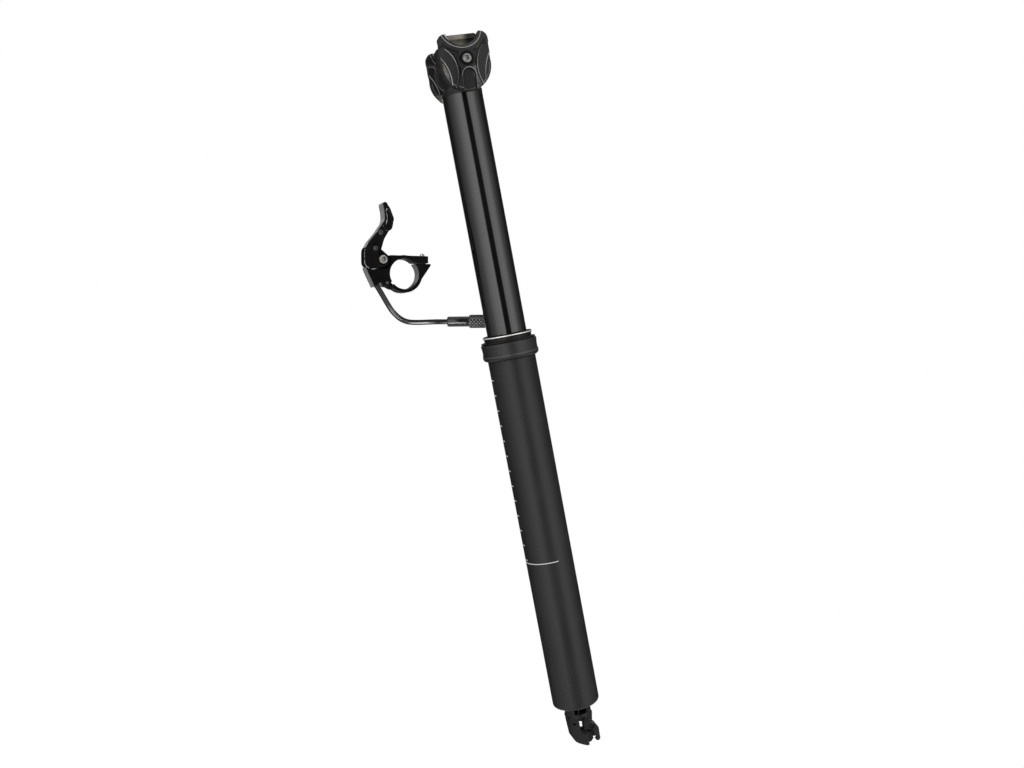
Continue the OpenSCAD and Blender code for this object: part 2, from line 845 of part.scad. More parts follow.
module remote_bracket() {
    pocket_y = -band_y + lever_front + free_gap;
    color([0.06, 0.06, 0.065])
    in_remote()
        difference() {
            slab(-band_y, band_y) bracket_outline();
            y_rod([0, 0], bar_r, -30, 30);
            slab(-band_y - 1, pocket_y) translate(lever_at) circle(r = boss_r + free_gap);
            translate([exit_at[0], 0, exit_at[1]]) rotate([0, 90 - exit_turn, 0])
                translate([0, 0, -exit_depth]) cylinder(r = housing_d / 2 + exit_gap, h = exit_depth + 4);
            y_rod(lever_at, lever_bolt_r + seat_gap, -30, 30);
            slab(-knuckle_y - free_gap, knuckle_y + free_gap) knuckle(free_gap);
            y_rod(hinge, hinge_pin_r + seat_gap, -30, 30);
            translate([screw_x, 0, lug_split - 1]) cylinder(r = screw_r + seat_gap, h = 20);
        }
}

// Jaw: lower band with a hinge knuckle and a slotted flange for the screw
module clamp_jaw() {
    color([0.06, 0.06, 0.065])
    in_remote()
        difference() {
            union() {
                slab(-band_y, band_y)
                    difference() {
                        union() {
                            difference() {
                                circle(r = band_r);
                                half_plane(42, 1);
                                translate([0, lug_split - lug_gap / 2]) square([60, 60]);
                            }
                            polygon(concat(jaw_wedge, [
                                [jaw_wedge[1][0] + 0.3, lug_split - lug_gap / 2],
                                [bar_r - 2.2, lug_split - lug_gap / 2]]));
                        }
                        circle(r = bar_r);
                    }
                slab(-knuckle_y, knuckle_y)
                    difference() {
                        knuckle(0);
                        circle(r = bar_r + 0.3);
                    }
            }
            y_rod(hinge, hinge_pin_r + slide_gap, -30, 30);
            for (shift = [0, 0.55, 1.1])
                translate([screw_x - shift, 0, flange_low - 2]) cylinder(r = screw_r + 0.25, h = 20);
            translate([screw_x, 0, -8]) cylinder(r = screw_head_r + 0.95, h = flange_low + 8 + spot_face);
        }
}

module jaw_pin() {
    color([0.6, 0.6, 0.62]) in_remote() y_rod(hinge, hinge_pin_r, -band_y - 0.2, band_y + 0.2);
}

// Screw with its head under the jaw flange and its tip through the arm
module clamp_screw() {
    head_top = flange_low - 0.35;
    color([0.65, 0.65, 0.67])
    in_remote()
        translate([screw_x, 0, 0])
            difference() {
                union() {
                    translate([0, 0, head_top - screw_head_h]) cylinder(r = screw_head_r, h = screw_head_h);
                    translate([0, 0, head_top - 1])
                        cylinder(r = screw_r, h = screw_tip - screw_r - head_top + 1);
                    translate([0, 0, screw_tip - screw_r]) sphere(r = screw_r);
                }
                translate([0, 0, head_top - screw_head_h - 1]) linear_extrude(height = 2.6) hexagon(2.5);
            }
}

// Side view of the thumb lever: anchor arm, hub and a blade that swings up to the pad
module lever_outline() {
    link(lever_at, lever_hub_r, arm_at, arm_r);
    link(arm_at, arm_r, blade[0][0], blade[0][1]);
    link(lever_at, lever_hub_r, blade[0][0], blade[0][1]);
    chain(blade);
}

module thumb_lever() {
    pad_front = -band_y - 0.6;
    color([0.07, 0.07, 0.075])
    in_remote()
        difference() {
            union() {
                slab(-band_y, lever_back) lever_outline();
                slab(pad_front, pad_front + pad_w) chain(pad);
            }
            slab(pad_front - 1, pad_front + dish_depth) chain(dish);
            slab(-band_y + lever_front, 30) translate(lever_at) circle(r = boss_r + free_gap);
            y_rod(lever_at, lever_bolt_r + lever_bush_t + seat_gap, -30, 30);
            y_rod(anchor_at, anchor_r + seat_gap, anchor_front - 0.1, 30);
            for (at = lever_screw_at)
                y_rod(at, lever_screw_r + seat_gap, -band_y - 1, 0);
        }
}

module lever_bush() {
    color([0.7, 0.55, 0.3])
    in_remote()
        difference() {
            y_rod(lever_at, lever_bolt_r + lever_bush_t, -band_y, -band_y + lever_front);
            y_rod(lever_at, lever_bolt_r + slide_gap, -30, 30);
        }
}

// Pivot bolt with a low socket head in front of the lever
module lever_bolt() {
    front = -band_y - 0.3;
    color([0.75, 0.75, 0.77])
    in_remote()
        difference() {
            union() {
                y_rod(lever_at, lever_bolt_r, front, band_y);
                y_rod(lever_at, lever_head_r, front - 1.8, front);
            }
            slab(front - 3, front + 0.6) translate(lever_at) hexagon(3);
        }
}

module lever_screws() {
    color([0.55, 0.55, 0.57])
    in_remote()
        for (at = lever_screw_at)
            difference() {
                union() {
                    y_rod(at, lever_screw_r, -band_y - 0.5, -0.5);
                    y_rod(at, lever_screw_head_r, -band_y - 0.9, -band_y);
                }
                slab(-band_y - 2, -band_y - 0.3) translate(at) hexagon(1.6);
            }
}

// Barrel that pinches the wire in the lever
module cable_anchor() {
    color([0.6, 0.6, 0.62])
    in_remote()
        difference() {
            y_rod(anchor_at, anchor_r, anchor_front, lever_back);
            translate([anchor_at[0], 0, anchor_at[1]]) cylinder(r = wire_r, h = 12, center = true);
            slab(lever_back - 1, lever_back + 1) translate(anchor_at) hexagon(2);
        }
}

// Points of the frame that lies behind the post, and of the remote, in the post's frame
function turn_z(p, a) = [p[0] * cos(a) - p[1] * sin(a), p[0] * sin(a) + p[1] * cos(a), p[2]];
function turn_y(p, a) = [p[0] * cos(a) + p[2] * sin(a), p[1], -p[0] * sin(a) + p[2] * cos(a)];
function behind(p) = turn_z(p, behind_turn);
function from_remote(p) = remote_at + turn_z(turn_y(p, remote_lean), remote_yaw);
function unit(v) = v / norm(v);

// Curve through the points of a route, with two steps from point to point
function curve_at(a, b, c, d, t) =
    0.5 * (2 * b + (c - a) * t + (2 * a - 5 * b + 4 * c - d) * t * t + (3 * b - a - 3 * c + d) * t * t * t);
function smooth(p, steps) = let (n = len(p)) concat(
    [for (k = [0:n - 2], s = [0:steps - 1])
        curve_at(p[max(k - 1, 0)], p[k], p[k + 1], p[min(k + 2, n - 1)], s / steps)],
    [p[n - 1]]);

// Tube along a list of points; its rings face along the route
module tube(path, r, sides) {
    n = len(path);
    side_way = behind([0, 1, 0]);
    way = [for (k = [0:n - 1]) unit(path[min(k + 1, n - 1)] - path[max(k - 1, 0)])];
    rings = [for (k = [0:n - 1]) let (u = unit(cross(way[k], side_way)), v = cross(u, way[k]))
        [for (s = [0:sides - 1]) path[k] + r * (cos(360 * s / sides) * u + sin(360 * s / sides) * v)]];
    points = [for (one = rings, p = one) p];
    walls = [for (k = [0:n - 2], s = [0:sides - 1])
        let (a = k * sides + s, b = k * sides + (s + 1) % sides)
        [a, b, b + sides, a + sides]];
    first = [for (s = [sides - 1:-1:0]) s];
    last = [for (s = [0:sides - 1]) (n - 1) * sides + s];
    polyhedron(points = points, faces = concat([first, last], walls), convexity = 10);
}

// Housing from the remote to the adjuster
exit_way = [cos(exit_turn), 0, sin(exit_turn)];
exit_point = [exit_at[0], 0, exit_at[1]];
adjuster_way = [cos(adjuster_tilt), 0, -sin(adjuster_tilt)];
front_path = smooth(concat(
    [from_remote(exit_point - (exit_depth - free_gap) * exit_way), from_remote(exit_point + 4 * exit_way)],
    [for (p = front_route) behind(p)],
    [behind(adjuster_from)]), 2);

module housing_front() {
    color([0.05, 0.05, 0.055]) tube(front_path, housing_d / 2, 10);
}

// Places a shape along the adjuster's axis, from its start
module in_adjuster(along) {
    rotate([0, 0, behind_turn])
        translate(adjuster_from + along * adjuster_way)
            rotate([0, 90 + adjuster_tilt, 0]) children();
}

module adjuster_sleeve() {
    stub = sleeve_d / 2 - 1.4;
    color([0.06, 0.06, 0.065])
    in_adjuster(0) {
        cylinder(r = sleeve_d / 2 - 0.5, h = 1);
        translate([0, 0, 0.6]) cylinder(r = sleeve_d / 2, h = sleeve_l - 0.6);
        cylinder(r = stub, h = sleeve_l + barrel_l);
        translate([0, 0, sleeve_l + barrel_l]) cylinder(r = sleeve_d / 2 - 0.4, h = 1.5);
    }
}

// Knurled barrel that turns on the sleeve's stub
module adjuster_barrel() {
    stub = sleeve_d / 2 - 1.4;
    ribs = 24;
    color([0.07, 0.07, 0.075])
    in_adjuster(sleeve_l + 0.15)
        difference() {
            union() {
                cylinder(r = barrel_d / 2 - 0.3, h = barrel_l - 0.3);
                for (k = [0:ribs - 1])
                    rotate([0, 0, 360 * k / ribs])
                        translate([barrel_d / 2 - 0.5, 0, 1.2])
                            cylinder(r = 0.5, h = barrel_l - 2.7, $fn = 16);
            }
            translate([0, 0, -1]) cylinder(r = stub + slide_gap, h = barrel_l + 2);
        }
}

// Loops of the hank: down the right run, round the lower fold, up the left run while it
// steps back by one layer, and round the upper fold
steps = 6;
half_run = hank_run / 2;
function run_x(z) = hank_waist + (hank_fold - hank_waist) * pow(sin(90 * z / half_run), 2);
function loop_point(k, s) =
    let (part = floor(s / steps), t = (s % steps) / steps, z = half_run * (1 - 2 * t))
    part == 0 ? [run_x(z), k, z]
    : part == 1 ? [hank_fold * cos(180 * t), k, -half_run - hank_fold * sin(180 * t)]
    : part == 2 ? [-run_x(z), k + t, -z]
    : [-hank_fold * cos(180 * t), k + 1, half_run + hank_fold * sin(180 * t)];
function in_hank(p) = behind(hank_at + [p[0], hank_step * p[1], p[2]]);
hank_end = [-hank_fold, hank_loops, half_run];
lead_path = [
    adjuster_from + (sleeve_l + barrel_l + 1.5) * adjuster_way,
    adjuster_from + (sleeve_l + barrel_l + 4) * adjuster_way,
    [4.6, 44, 23], [9.6, 44, 17], [11.8, 44, 9], [12, 44, 0], [12, 44, -16], [12, 44, -34]];
hank_path = concat(
    smooth([for (p = lead_path) behind(p)], 1),
    [for (k = [0:hank_loops - 1], s = [0:4 * steps - 1])
        if (k < hank_loops - 1 || s < 3 * steps) in_hank(loop_point(k, s))],
    [for (t = [0, 0.5, 1]) in_hank(hank_end + [0, 0, t * tail_l])]);

function path_length(p) = len(p) < 2 ? 0 : [for (k = 0, sum = 0; k < len(p); k = k + 1,
    sum = sum + (k < len(p) ? norm(p[k] - p[k - 1]) : 0)) sum][len(p) - 1];

// Least distance between the hank's walls, among points over a turn's quarter apart
fine_hank = smooth(hank_path, 4);
function fine_gap(p) =
    min([for (a = [0:len(p) - 17], b = [a + 16:2:len(p) - 1]) norm(p[a] - p[b])]) - housing_d;
echo(least_gap_of_hank = fine_gap(fine_hank));
echo(front_length = path_length(front_path), rear_length = path_length(hank_path));

module housing_rear() {
    color([0.05, 0.05, 0.055]) tube(hank_path, housing_d / 2, 6);
}

// Tie round the waist of the hank
module hank_tie() {
    deep = hank_loops * hank_step;
    inner = [2 * hank_waist + housing_d + 1.2, deep + housing_d + 1.2];
    color([0.05, 0.05, 0.05])
    rotate([0, 0, behind_turn])
        translate(hank_at + [0, deep / 2, 0])
            difference() {
                translate([-inner[0] / 2 - 1.2, -inner[1] / 2 - 1.2, -4])
                    cube([inner[0] + 2.4, inner[1] + 2.4, 8]);
                translate([-inner[0] / 2, -inner[1] / 2, -9]) cube([inner[0], inner[1], 18]);
            }
}

module end_ferrule() {
    color([0.1, 0.1, 0.1])
    rotate([0, 0, behind_turn])
        translate(hank_at + [hank_end[0], hank_step * hank_end[1], hank_end[2] + tail_l])
            difference() {
                cylinder(r = housing_d / 2 + 0.5, h = ferrule_l);
                translate([0, 0, 1]) cylinder(r = wire_r + seat_gap, h = ferrule_l);
            }
}

// Inner wire where it leaves the ferrule, with its barrel nipple
module wire_end() {
    color([0.75, 0.75, 0.77])
    rotate([0, 0, behind_turn])
        translate(hank_at + [hank_end[0], hank_step * hank_end[1], hank_end[2] + tail_l]) {
            translate([0, 0, 2]) cylinder(r = wire_r, h = ferrule_l + 8);
            translate([0, 0, ferrule_l + 10]) rotate([90, 0, 0]) cylinder(r = 2.2, h = 5, center = true);
        }
}

outer_tube();
seal_head();
dust_wiper();
wiper_ring();
upper_bushing();
seal_ring();
top_out_bumper();
base_cap();
bottom_bumper();
stanchion();
lower_bushing();
guide_keys();
saddle_head();
cradle_near();
cradle_far();
plate_near();
plate_far();
clamp_bolt();
clamp_nut();
bolt_washer();
cartridge_tube();
cartridge_plug();
cartridge_guide();
gland();
gland_seal();
piston();
piston_seal();
piston_nut();
piston_rod();
rod_nut();
floating_piston();
floating_seal();
valve_pin();
actuator_bracket();
actuator_lever();
actuator_pin();
remote_bracket();
clamp_jaw();
jaw_pin();
clamp_screw();
thumb_lever();
lever_bush();
lever_bolt();
lever_screws();
cable_anchor();
housing_front();
adjuster_sleeve();
adjuster_barrel();
housing_rear();
hank_tie();
end_ferrule();
wire_end();
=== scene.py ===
# Dropper seatpost with its remote: finishes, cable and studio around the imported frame
import json
from math import cos, floor, pi, radians, sin

import bpy
from mathutils import Matrix, Vector


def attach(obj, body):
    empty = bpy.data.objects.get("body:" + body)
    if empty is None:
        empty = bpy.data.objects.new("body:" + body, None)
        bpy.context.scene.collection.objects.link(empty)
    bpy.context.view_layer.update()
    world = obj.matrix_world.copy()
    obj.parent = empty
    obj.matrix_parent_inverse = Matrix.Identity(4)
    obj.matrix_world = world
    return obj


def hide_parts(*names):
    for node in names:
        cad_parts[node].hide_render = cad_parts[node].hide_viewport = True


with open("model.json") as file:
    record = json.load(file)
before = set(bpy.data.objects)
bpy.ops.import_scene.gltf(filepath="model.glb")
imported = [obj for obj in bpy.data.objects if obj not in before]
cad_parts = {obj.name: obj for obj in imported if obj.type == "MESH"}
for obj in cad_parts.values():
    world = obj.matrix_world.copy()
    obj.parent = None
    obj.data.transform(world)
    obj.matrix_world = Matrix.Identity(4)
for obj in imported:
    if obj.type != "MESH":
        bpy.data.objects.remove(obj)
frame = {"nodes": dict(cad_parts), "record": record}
nodes, record = frame["nodes"], frame["record"]
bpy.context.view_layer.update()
bodyOf = {node: body for body, members in record["behaviour"]["bodies"].items() for node in members}
mm = 0.001
print("frame loaded,", len(nodes), "nodes")


# Camera
cameraSet = {
    "turn": -12.5,          # degrees round the post
    "rise": 5.6,            # degrees above level
    "roll": 10.66,          # the post's top leans left in the picture
    "distance": 0.75,
    "aimHeight": -0.0188,
    "aimSide": -0.0032,
    "focalPixels": 1032,
    "imageWidth": 1024,
    "sensor": 36,
}


def makeCamera(c):
    turn, rise, roll = radians(c["turn"]), radians(c["rise"]), radians(c["roll"])
    back = Vector((sin(turn) * cos(rise), -cos(turn) * cos(rise), sin(rise)))
    level = Vector((cos(turn), sin(turn), 0))
    up = back.cross(level)
    imageRight = level * cos(roll) - up * sin(roll)
    imageUp = up * cos(roll) + level * sin(roll)
    data = bpy.data.cameras.new("camera")
    data.sensor_width = c["sensor"]
    data.lens = c["sensor"] * c["focalPixels"] / c["imageWidth"]
    camera = bpy.data.objects.new("camera", data)
    bpy.context.scene.collection.objects.link(camera)
    place = level * c["aimSide"] + Vector((0, 0, c["aimHeight"])) + back * c["distance"]
    turned = Matrix((imageRight, imageUp, back)).transposed()
    camera.matrix_world = Matrix.Translation(place) @ turned.to_4x4()
    bpy.context.scene.camera = camera


makeCamera(cameraSet)
print("camera set")


# Cable: the route of the housing in mm, from the remote to the adjuster and on to the hank
cableSet = {
    "housing": 4 * mm,          # diameter and the two lengths in metres
    "frontLength": 0.0773,
    "rearLength": 0.992,
    "behindTurn": -12.5,
    "remoteAt": (-62, 32, 74),
    "remoteYaw": 12,
    "remoteLean": 10.7,
    "exitAt": (-20.4, 0, -8.2),
    "intoSocket": 2.1,
    "exitTurn": -54,
    "exitRun": 4,
    "adjusterFrom": (-43, 44, 33.1),
    "adjusterTilt": 10,
    "adjusterLength": 16.5 + 20 + 1.5,      # sleeve, barrel and end
    "adjusterRun": 2.5,
    "frontRoute": [
        (-81.5, 13, 53.7), (-79.2, 16, 47.9), (-75.5, 20, 42.4), (-70.8, 25, 38.9),
        (-64.2, 31.5, 37), (-57.8, 37.5, 35.8), (-51, 42, 34.6), (-46, 43.8, 33.6)],
    "leadRoute": [
        (4.6, 44, 23), (9.6, 44, 17), (11.8, 44, 9), (12, 44, 0), (12, 44, -16), (12, 44, -34)],
    "routeSteps": 5,
    "hankAt": (0, 44, -88),
    "hankRun": 76,
    "hankFold": 12,
    "hankWaist": 9,
    "hankStep": 4.8,
    "hankLoops": 4,
    "tail": 30,
    "tailPoints": (0, 0.33, 0.67, 1),
    "loopSteps": 18,
}


def turnZ(p, degrees):
    return Matrix.Rotation(radians(degrees), 3, "Z") @ Vector(p)


def behind(p):
    return turnZ(p, cableSet["behindTurn"])


def fromRemote(p):
    leaned = Matrix.Rotation(radians(cableSet["remoteLean"]), 3, "Y") @ Vector(p)
    return Vector(cableSet["remoteAt"]) + turnZ(leaned, cableSet["remoteYaw"])


def curveThrough(points, steps):
    found = []
    for k in range(len(points) - 1):
        a, b = points[max(k - 1, 0)], points[k]
        c, d = points[k + 1], points[min(k + 2, len(points) - 1)]
        for s in range(steps):
            t = s / steps
            found.append(0.5 * (2 * b + (c - a) * t + (2 * a - 5 * b + 4 * c - d) * t * t
                                + (3 * b - a - 3 * c + d) * t * t * t))
    return found + [points[-1]]


def hankPoint(c, loop, step):
    half, fold, waist = c["hankRun"] / 2, c["hankFold"], c["hankWaist"]
    part, t = floor(step / c["loopSteps"]), (step % c["loopSteps"]) / c["loopSteps"]
    z = half * (1 - 2 * t)
    side = waist + (fold - waist) * sin(pi / 2 * z / half) ** 2
    if part == 0:
        x, layer, height = side, loop, z
    elif part == 1:
        x, layer, height = fold * cos(pi * t), loop, -half - fold * sin(pi * t)
    elif part == 2:
        x, layer, height = -side, loop + t, -z
    else:
        x, layer, height = -fold * cos(pi * t), loop + 1, half + fold * sin(pi * t)
    return behind(Vector(c["hankAt"]) + Vector((x, c["hankStep"] * layer, height)))


def frontPoints(c):
    way = Vector((cos(radians(c["exitTurn"])), 0, sin(radians(c["exitTurn"]))))
    start = Vector(c["exitAt"])
    route = [fromRemote(start - c["intoSocket"] * way), fromRemote(start + c["exitRun"] * way)]
    route += [behind(p) for p in c["frontRoute"]] + [behind(c["adjusterFrom"])]
    return [p * mm for p in curveThrough(route, c["routeSteps"])]


def rearPoints(c):
    tilt = radians(c["adjusterTilt"])
    way = Vector((cos(tilt), 0, -sin(tilt)))
    start = Vector(c["adjusterFrom"]) + way * c["adjusterLength"]
    lead = [start, start + way * c["adjusterRun"], *c["leadRoute"]]
    loops = [
        hankPoint(c, k, s)
        for k in range(c["hankLoops"])
        for s in range(4 * c["loopSteps"])
        if k < c["hankLoops"] - 1 or s < 3 * c["loopSteps"]]
    corner = Vector((-c["hankFold"], c["hankStep"] * c["hankLoops"], c["hankRun"] / 2))
    top = Vector(c["hankAt"]) + corner
    tail = [behind(top + Vector((0, 0, c["tail"] * t))) for t in c["tailPoints"]]
    toHank = curveThrough([behind(p) for p in lead] + loops[:1], c["routeSteps"])
    return [p * mm for p in toHank[:-1] + loops + tail]


def makeHousing(name, points, diameter):
    data = bpy.data.curves.new(name, "CURVE")
    data.dimensions = "3D"
    data.bevel_depth = 1
    data.bevel_resolution = 4
    data.use_fill_caps = True
    line = data.splines.new("POLY")
    line.points.add(len(points) - 1)
    for point, place in zip(line.points, points):
        point.co = (*place, 1)
        point.radius = diameter / 2
    line.use_smooth = True
    piece = bpy.data.objects.new(name, data)
    bpy.context.scene.collection.objects.link(piece)
    return piece


frontRun, rearRun = frontPoints(cableSet), rearPoints(cableSet)
frontHousing = makeHousing("frontHousing", frontRun, cableSet["housing"])
rearHousing = makeHousing("rearHousing", rearRun, cableSet["housing"])
for piece, node in ((frontHousing, "housing_front"), (rearHousing, "housing_rear")):
    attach(piece, bodyOf[node])
    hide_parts(node)
print("cable laid")


# Shader nodes, which arrangeNodes sets out in columns once a tree is whole
nodeStep = (220, 190)


def addNode(tree, kind, **settings):
    node = tree.nodes.new(kind)
    for key, value in settings.items():
        setattr(node, key, value)
    return node


def arrangeNodes(tree):
    column = {node.name: 0 for node in tree.nodes}
    moved = True
    while moved:
        moved = False
        for link in tree.links:
            needed = column[link.to_node.name] + 1
            if column[link.from_node.name] < needed:
                column[link.from_node.name] = needed
                moved = True
    filled = {}
    for node in tree.nodes:
        place = column[node.name]
        row = filled.get(place, 0)
        filled[place] = row + 1
        node.location = (-nodeStep[0] * place, -nodeStep[1] * row)


def newGroup(name, inputs, outputs):
    tree = bpy.data.node_groups.new(name, "ShaderNodeTree")
    for label, value in inputs:
        socket = tree.interface.new_socket(name=label, in_out="INPUT", socket_type="NodeSocketFloat")
        socket.default_value = value
    for label in outputs:
        tree.interface.new_socket(name=label, in_out="OUTPUT", socket_type="NodeSocketFloat")
    return tree, addNode(tree, "NodeGroupInput"), addNode(tree, "NodeGroupOutput")


def mathNode(tree, operation, *values):
    node = addNode(tree, "ShaderNodeMath", operation=operation)
    for socket, value in zip(node.inputs, values):
        if isinstance(value, (int, float)):
            socket.default_value = value
        else:
            tree.links.new(value, socket)
    return node.outputs[0]


def noiseNode(tree, vector, scale, detail, rough):
    node = addNode(tree, "ShaderNodeTexNoise")
    node.inputs["Detail"].default_value = detail
    node.inputs["Roughness"].default_value = rough
    tree.links.new(vector, node.inputs["Vector"])
    tree.links.new(scale, node.inputs["Scale"])
    return node.outputs["Fac"]


def rampNode(tree, value, low, high):
    node = addNode(tree, "ShaderNodeMapRange", interpolation_type="SMOOTHSTEP")
    node.inputs["From Min"].default_value = low
    node.inputs["From Max"].default_value = high
    tree.links.new(value, node.inputs["Value"])
    return node.outputs["Result"]


def dotNode(tree, vector, way):
    node = addNode(tree, "ShaderNodeVectorMath", operation="DOT_PRODUCT")
    tree.links.new(vector, node.inputs[0])
    node.inputs[1].default_value = way
    return node.outputs["Value"]


def between(tree, value, low, high):
    above = mathNode(tree, "GREATER_THAN", value, low)
    below = mathNode(tree, "LESS_THAN", value, high)
    return mathNode(tree, "MULTIPLY", above, below)


def objectPlace(tree):
    return addNode(tree, "ShaderNodeTexCoord").outputs["Object"]


def placeFrom(tree, centre):
    node = addNode(tree, "ShaderNodeVectorMath", operation="SUBTRACT")
    tree.links.new(objectPlace(tree), node.inputs[0])
    node.inputs[1].default_value = centre
    return node.outputs["Vector"]


# Shader groups that the finishes share, with noises as (detail, roughness)
surfaceSet = {
    "fineGrain": (2, 0.6),
    "coarseGrain": (3, 0.7),
    "coarseShare": 0.45,            # of the fine grain's scale
    "cloudNoise": (4, 0.55),
    "cloudRange": (0.3, 0.7),
    "wearAndSheenNoise": (3, 0.6),
    "wearAndSheenLeast": 0.45,
    "edgeRange": (0.515, 0.6),      # of pointiness, which is 0.5 on flat faces
    "hollowRange": (0.49, 0.42),
    "turnedNoise": (2, 0.5),
    "turnedStretch": (0.04, 0.04, 1),
    "beadFade": (1, 0.3),           # of the bead's half width
}


def makeGrainGroup(s):
    tree, inside, outside = newGroup("blastGrain", [("Scale", 4000)], ["Height"])
    place = objectPlace(tree)
    fine = noiseNode(tree, place, inside.outputs["Scale"], *s["fineGrain"])
    coarseScale = mathNode(tree, "MULTIPLY", inside.outputs["Scale"], s["coarseShare"])
    coarse = noiseNode(tree, place, coarseScale, *s["coarseGrain"])
    both = mathNode(tree, "ADD", fine, coarse)
    tree.links.new(mathNode(tree, "MULTIPLY", both, 0.5), outside.inputs["Height"])
    return tree


def makeCloudGroup(s):
    tree, inside, outside = newGroup("handledCloud", [("Scale", 30)], ["Cloud"])
    cloud = noiseNode(tree, objectPlace(tree), inside.outputs["Scale"], *s["cloudNoise"])
    tree.links.new(rampNode(tree, cloud, *s["cloudRange"]), outside.inputs["Cloud"])
    return tree


# Convex edges lighter, partly real edge wear and partly painted highlight; hollows darker, as painted shade
def makeEdgeGroup(s):
    tree, inside, outside = newGroup("edgeSheenAndHollowShade", [("Breakup", 500)], ["Edge", "Hollow"])
    point = addNode(tree, "ShaderNodeNewGeometry").outputs["Pointiness"]
    patchy = noiseNode(tree, objectPlace(tree), inside.outputs["Breakup"], *s["wearAndSheenNoise"])
    broken = mathNode(tree, "ADD", patchy, s["wearAndSheenLeast"])
    edgeWearAndSheen = mathNode(tree, "MULTIPLY", rampNode(tree, point, *s["edgeRange"]), broken)
    tree.links.new(mathNode(tree, "MINIMUM", edgeWearAndSheen, 1), outside.inputs["Edge"])
    tree.links.new(rampNode(tree, point, *s["hollowRange"]), outside.inputs["Hollow"])
    return tree


def makeTurnedGroup(s):
    tree, inside, outside = newGroup("turnedLines", [("Scale", 3000)], ["Height"])
    stretch = addNode(tree, "ShaderNodeMapping")
    stretch.inputs["Scale"].default_value = s["turnedStretch"]
    tree.links.new(objectPlace(tree), stretch.inputs["Vector"])
    lines = noiseNode(tree, stretch.outputs["Vector"], inside.outputs["Scale"], *s["turnedNoise"])
    tree.links.new(lines, outside.inputs["Height"])
    return tree


# One fine lighter line round a collar at a height above the tube's mouth, a painted highlight on the bead's
# top edge
def makeBeadHighlightGroup(s):
    tree, inside, outside = newGroup("beadLine", [("Height", 0), ("Half", 0.0004)], ["Line"])
    height = dotNode(tree, objectPlace(tree), (0, 0, 1))
    away = mathNode(tree, "SUBTRACT", height, inside.outputs["Height"])
    share = mathNode(tree, "DIVIDE", mathNode(tree, "ABSOLUTE", away), inside.outputs["Half"])
    tree.links.new(rampNode(tree, share, *s["beadFade"]), outside.inputs["Line"])
    return tree


# Printed on the tube's near side: the line it may not be drawn out past, and a scale up its left edge
markSet = {
    "lineHeight": -0.15,
    "lineHalf": 0.0003,
    "lineSpan": (-110, 21),     # degrees round the tube from the camera's side
    "tickStep": 0.0112,
    "tickAt": 0.8,              # of a step
    "tickHalf": 0.03,
    "tickSpan": (-110, -66),
    "tickTop": -0.012,
}


def makeMarksGroup(m, turn):
    tree, inside, outside = newGroup("printedMarks", [], ["Mark"])
    place = objectPlace(tree)
    front = dotNode(tree, place, (sin(turn), -cos(turn), 0))
    side = dotNode(tree, place, (cos(turn), sin(turn), 0))
    height = dotNode(tree, place, (0, 0, 1))
    angle = mathNode(tree, "ARCTAN2", side, front)
    line = mathNode(tree, "COMPARE", height, m["lineHeight"], m["lineHalf"])
    lineSpan = between(tree, angle, *[radians(v) for v in m["lineSpan"]])
    line = mathNode(tree, "MULTIPLY", line, lineSpan)
    step = mathNode(tree, "FRACT", mathNode(tree, "DIVIDE", height, m["tickStep"]))
    tick = mathNode(tree, "COMPARE", step, m["tickAt"], m["tickHalf"])
    tickSpan = between(tree, angle, *[radians(v) for v in m["tickSpan"]])
    tickRun = between(tree, height, m["lineHeight"], m["tickTop"])
    tick = mathNode(tree, "MULTIPLY", tick, mathNode(tree, "MULTIPLY", tickSpan, tickRun))
    tree.links.new(mathNode(tree, "MAXIMUM", line, tick), outside.inputs["Mark"])
    return tree


# The clamp plates' lines, in mm from the bolt's axis: bright edge lines, partly rubbed by handling and
# partly painted highlight, and painted shade along the grooves
joints = {joint["name"]: joint for joint in record["behaviour"]["joints"]}
clampAt = Vector(joints["saddle_tilt"]["pos_m"])
petalsAt = [(side * 28.3, -6.7) for side in (-1, 1)]
leavesAt = [(side * 41.5, -13.9) for side in (-1, 1)]
plateLines = {
    # centre, radius, half width, lowest and highest point, how strong
    "rubbedAndSheen": [
        ((0, 21.5), 12.1, 0.45, -30, 30, 1),                        # arch
        ((0, 21.5), 14.3, 0.3, -30, 30, 0.7),                       # its bevel
        *[(centre, 21.4, 0.3, -30, 8.6, 0.75) for centre in petalsAt],
        *[(centre, 29.5, 0.32, -30, 5.5, 0.85) for centre in leavesAt],
        ((0, -10.8), 4.8, 0.3, -10.8, 30, 0.75),                    # top of the foot pocket
        ((0, -3.3), 16.2, 0.25, -30, -3, 0.45),                     # rim
        (petalsAt[1], 23.3, 2.2, -17, -5.5, 0.2),                   # painted highlight beside the right petal
    ],
    # painted shade: dark bands beside the petals
    "grooveShade": [(centre, 22.5, 0.9, -9, 9.5, 0.95) for centre in petalsAt],
    "footLegs": {"half": 4.8, "width": 0.3, "top": -10.8, "bright": 0.35},
    "facing": (0.55, 0.75),         # how squarely a face has to look ahead or back to show them
}


def ringLines(tree, across, up, rings):
    level = None
    for centre, radius, half, low, high, strength in rings:
        a = mathNode(tree, "POWER", mathNode(tree, "SUBTRACT", across, centre[0]), 2)
        b = mathNode(tree, "POWER", mathNode(tree, "SUBTRACT", up, centre[1]), 2)
        far = mathNode(tree, "SQRT", mathNode(tree, "ADD", a, b))
        off = mathNode(tree, "ABSOLUTE", mathNode(tree, "SUBTRACT", far, radius))
        line = mathNode(tree, "MULTIPLY", rampNode(tree, off, half, half / 2), strength)
        line = mathNode(tree, "MULTIPLY", line, between(tree, up, low, high))
        level = line if level is None else mathNode(tree, "MAXIMUM", level, line)
    return level


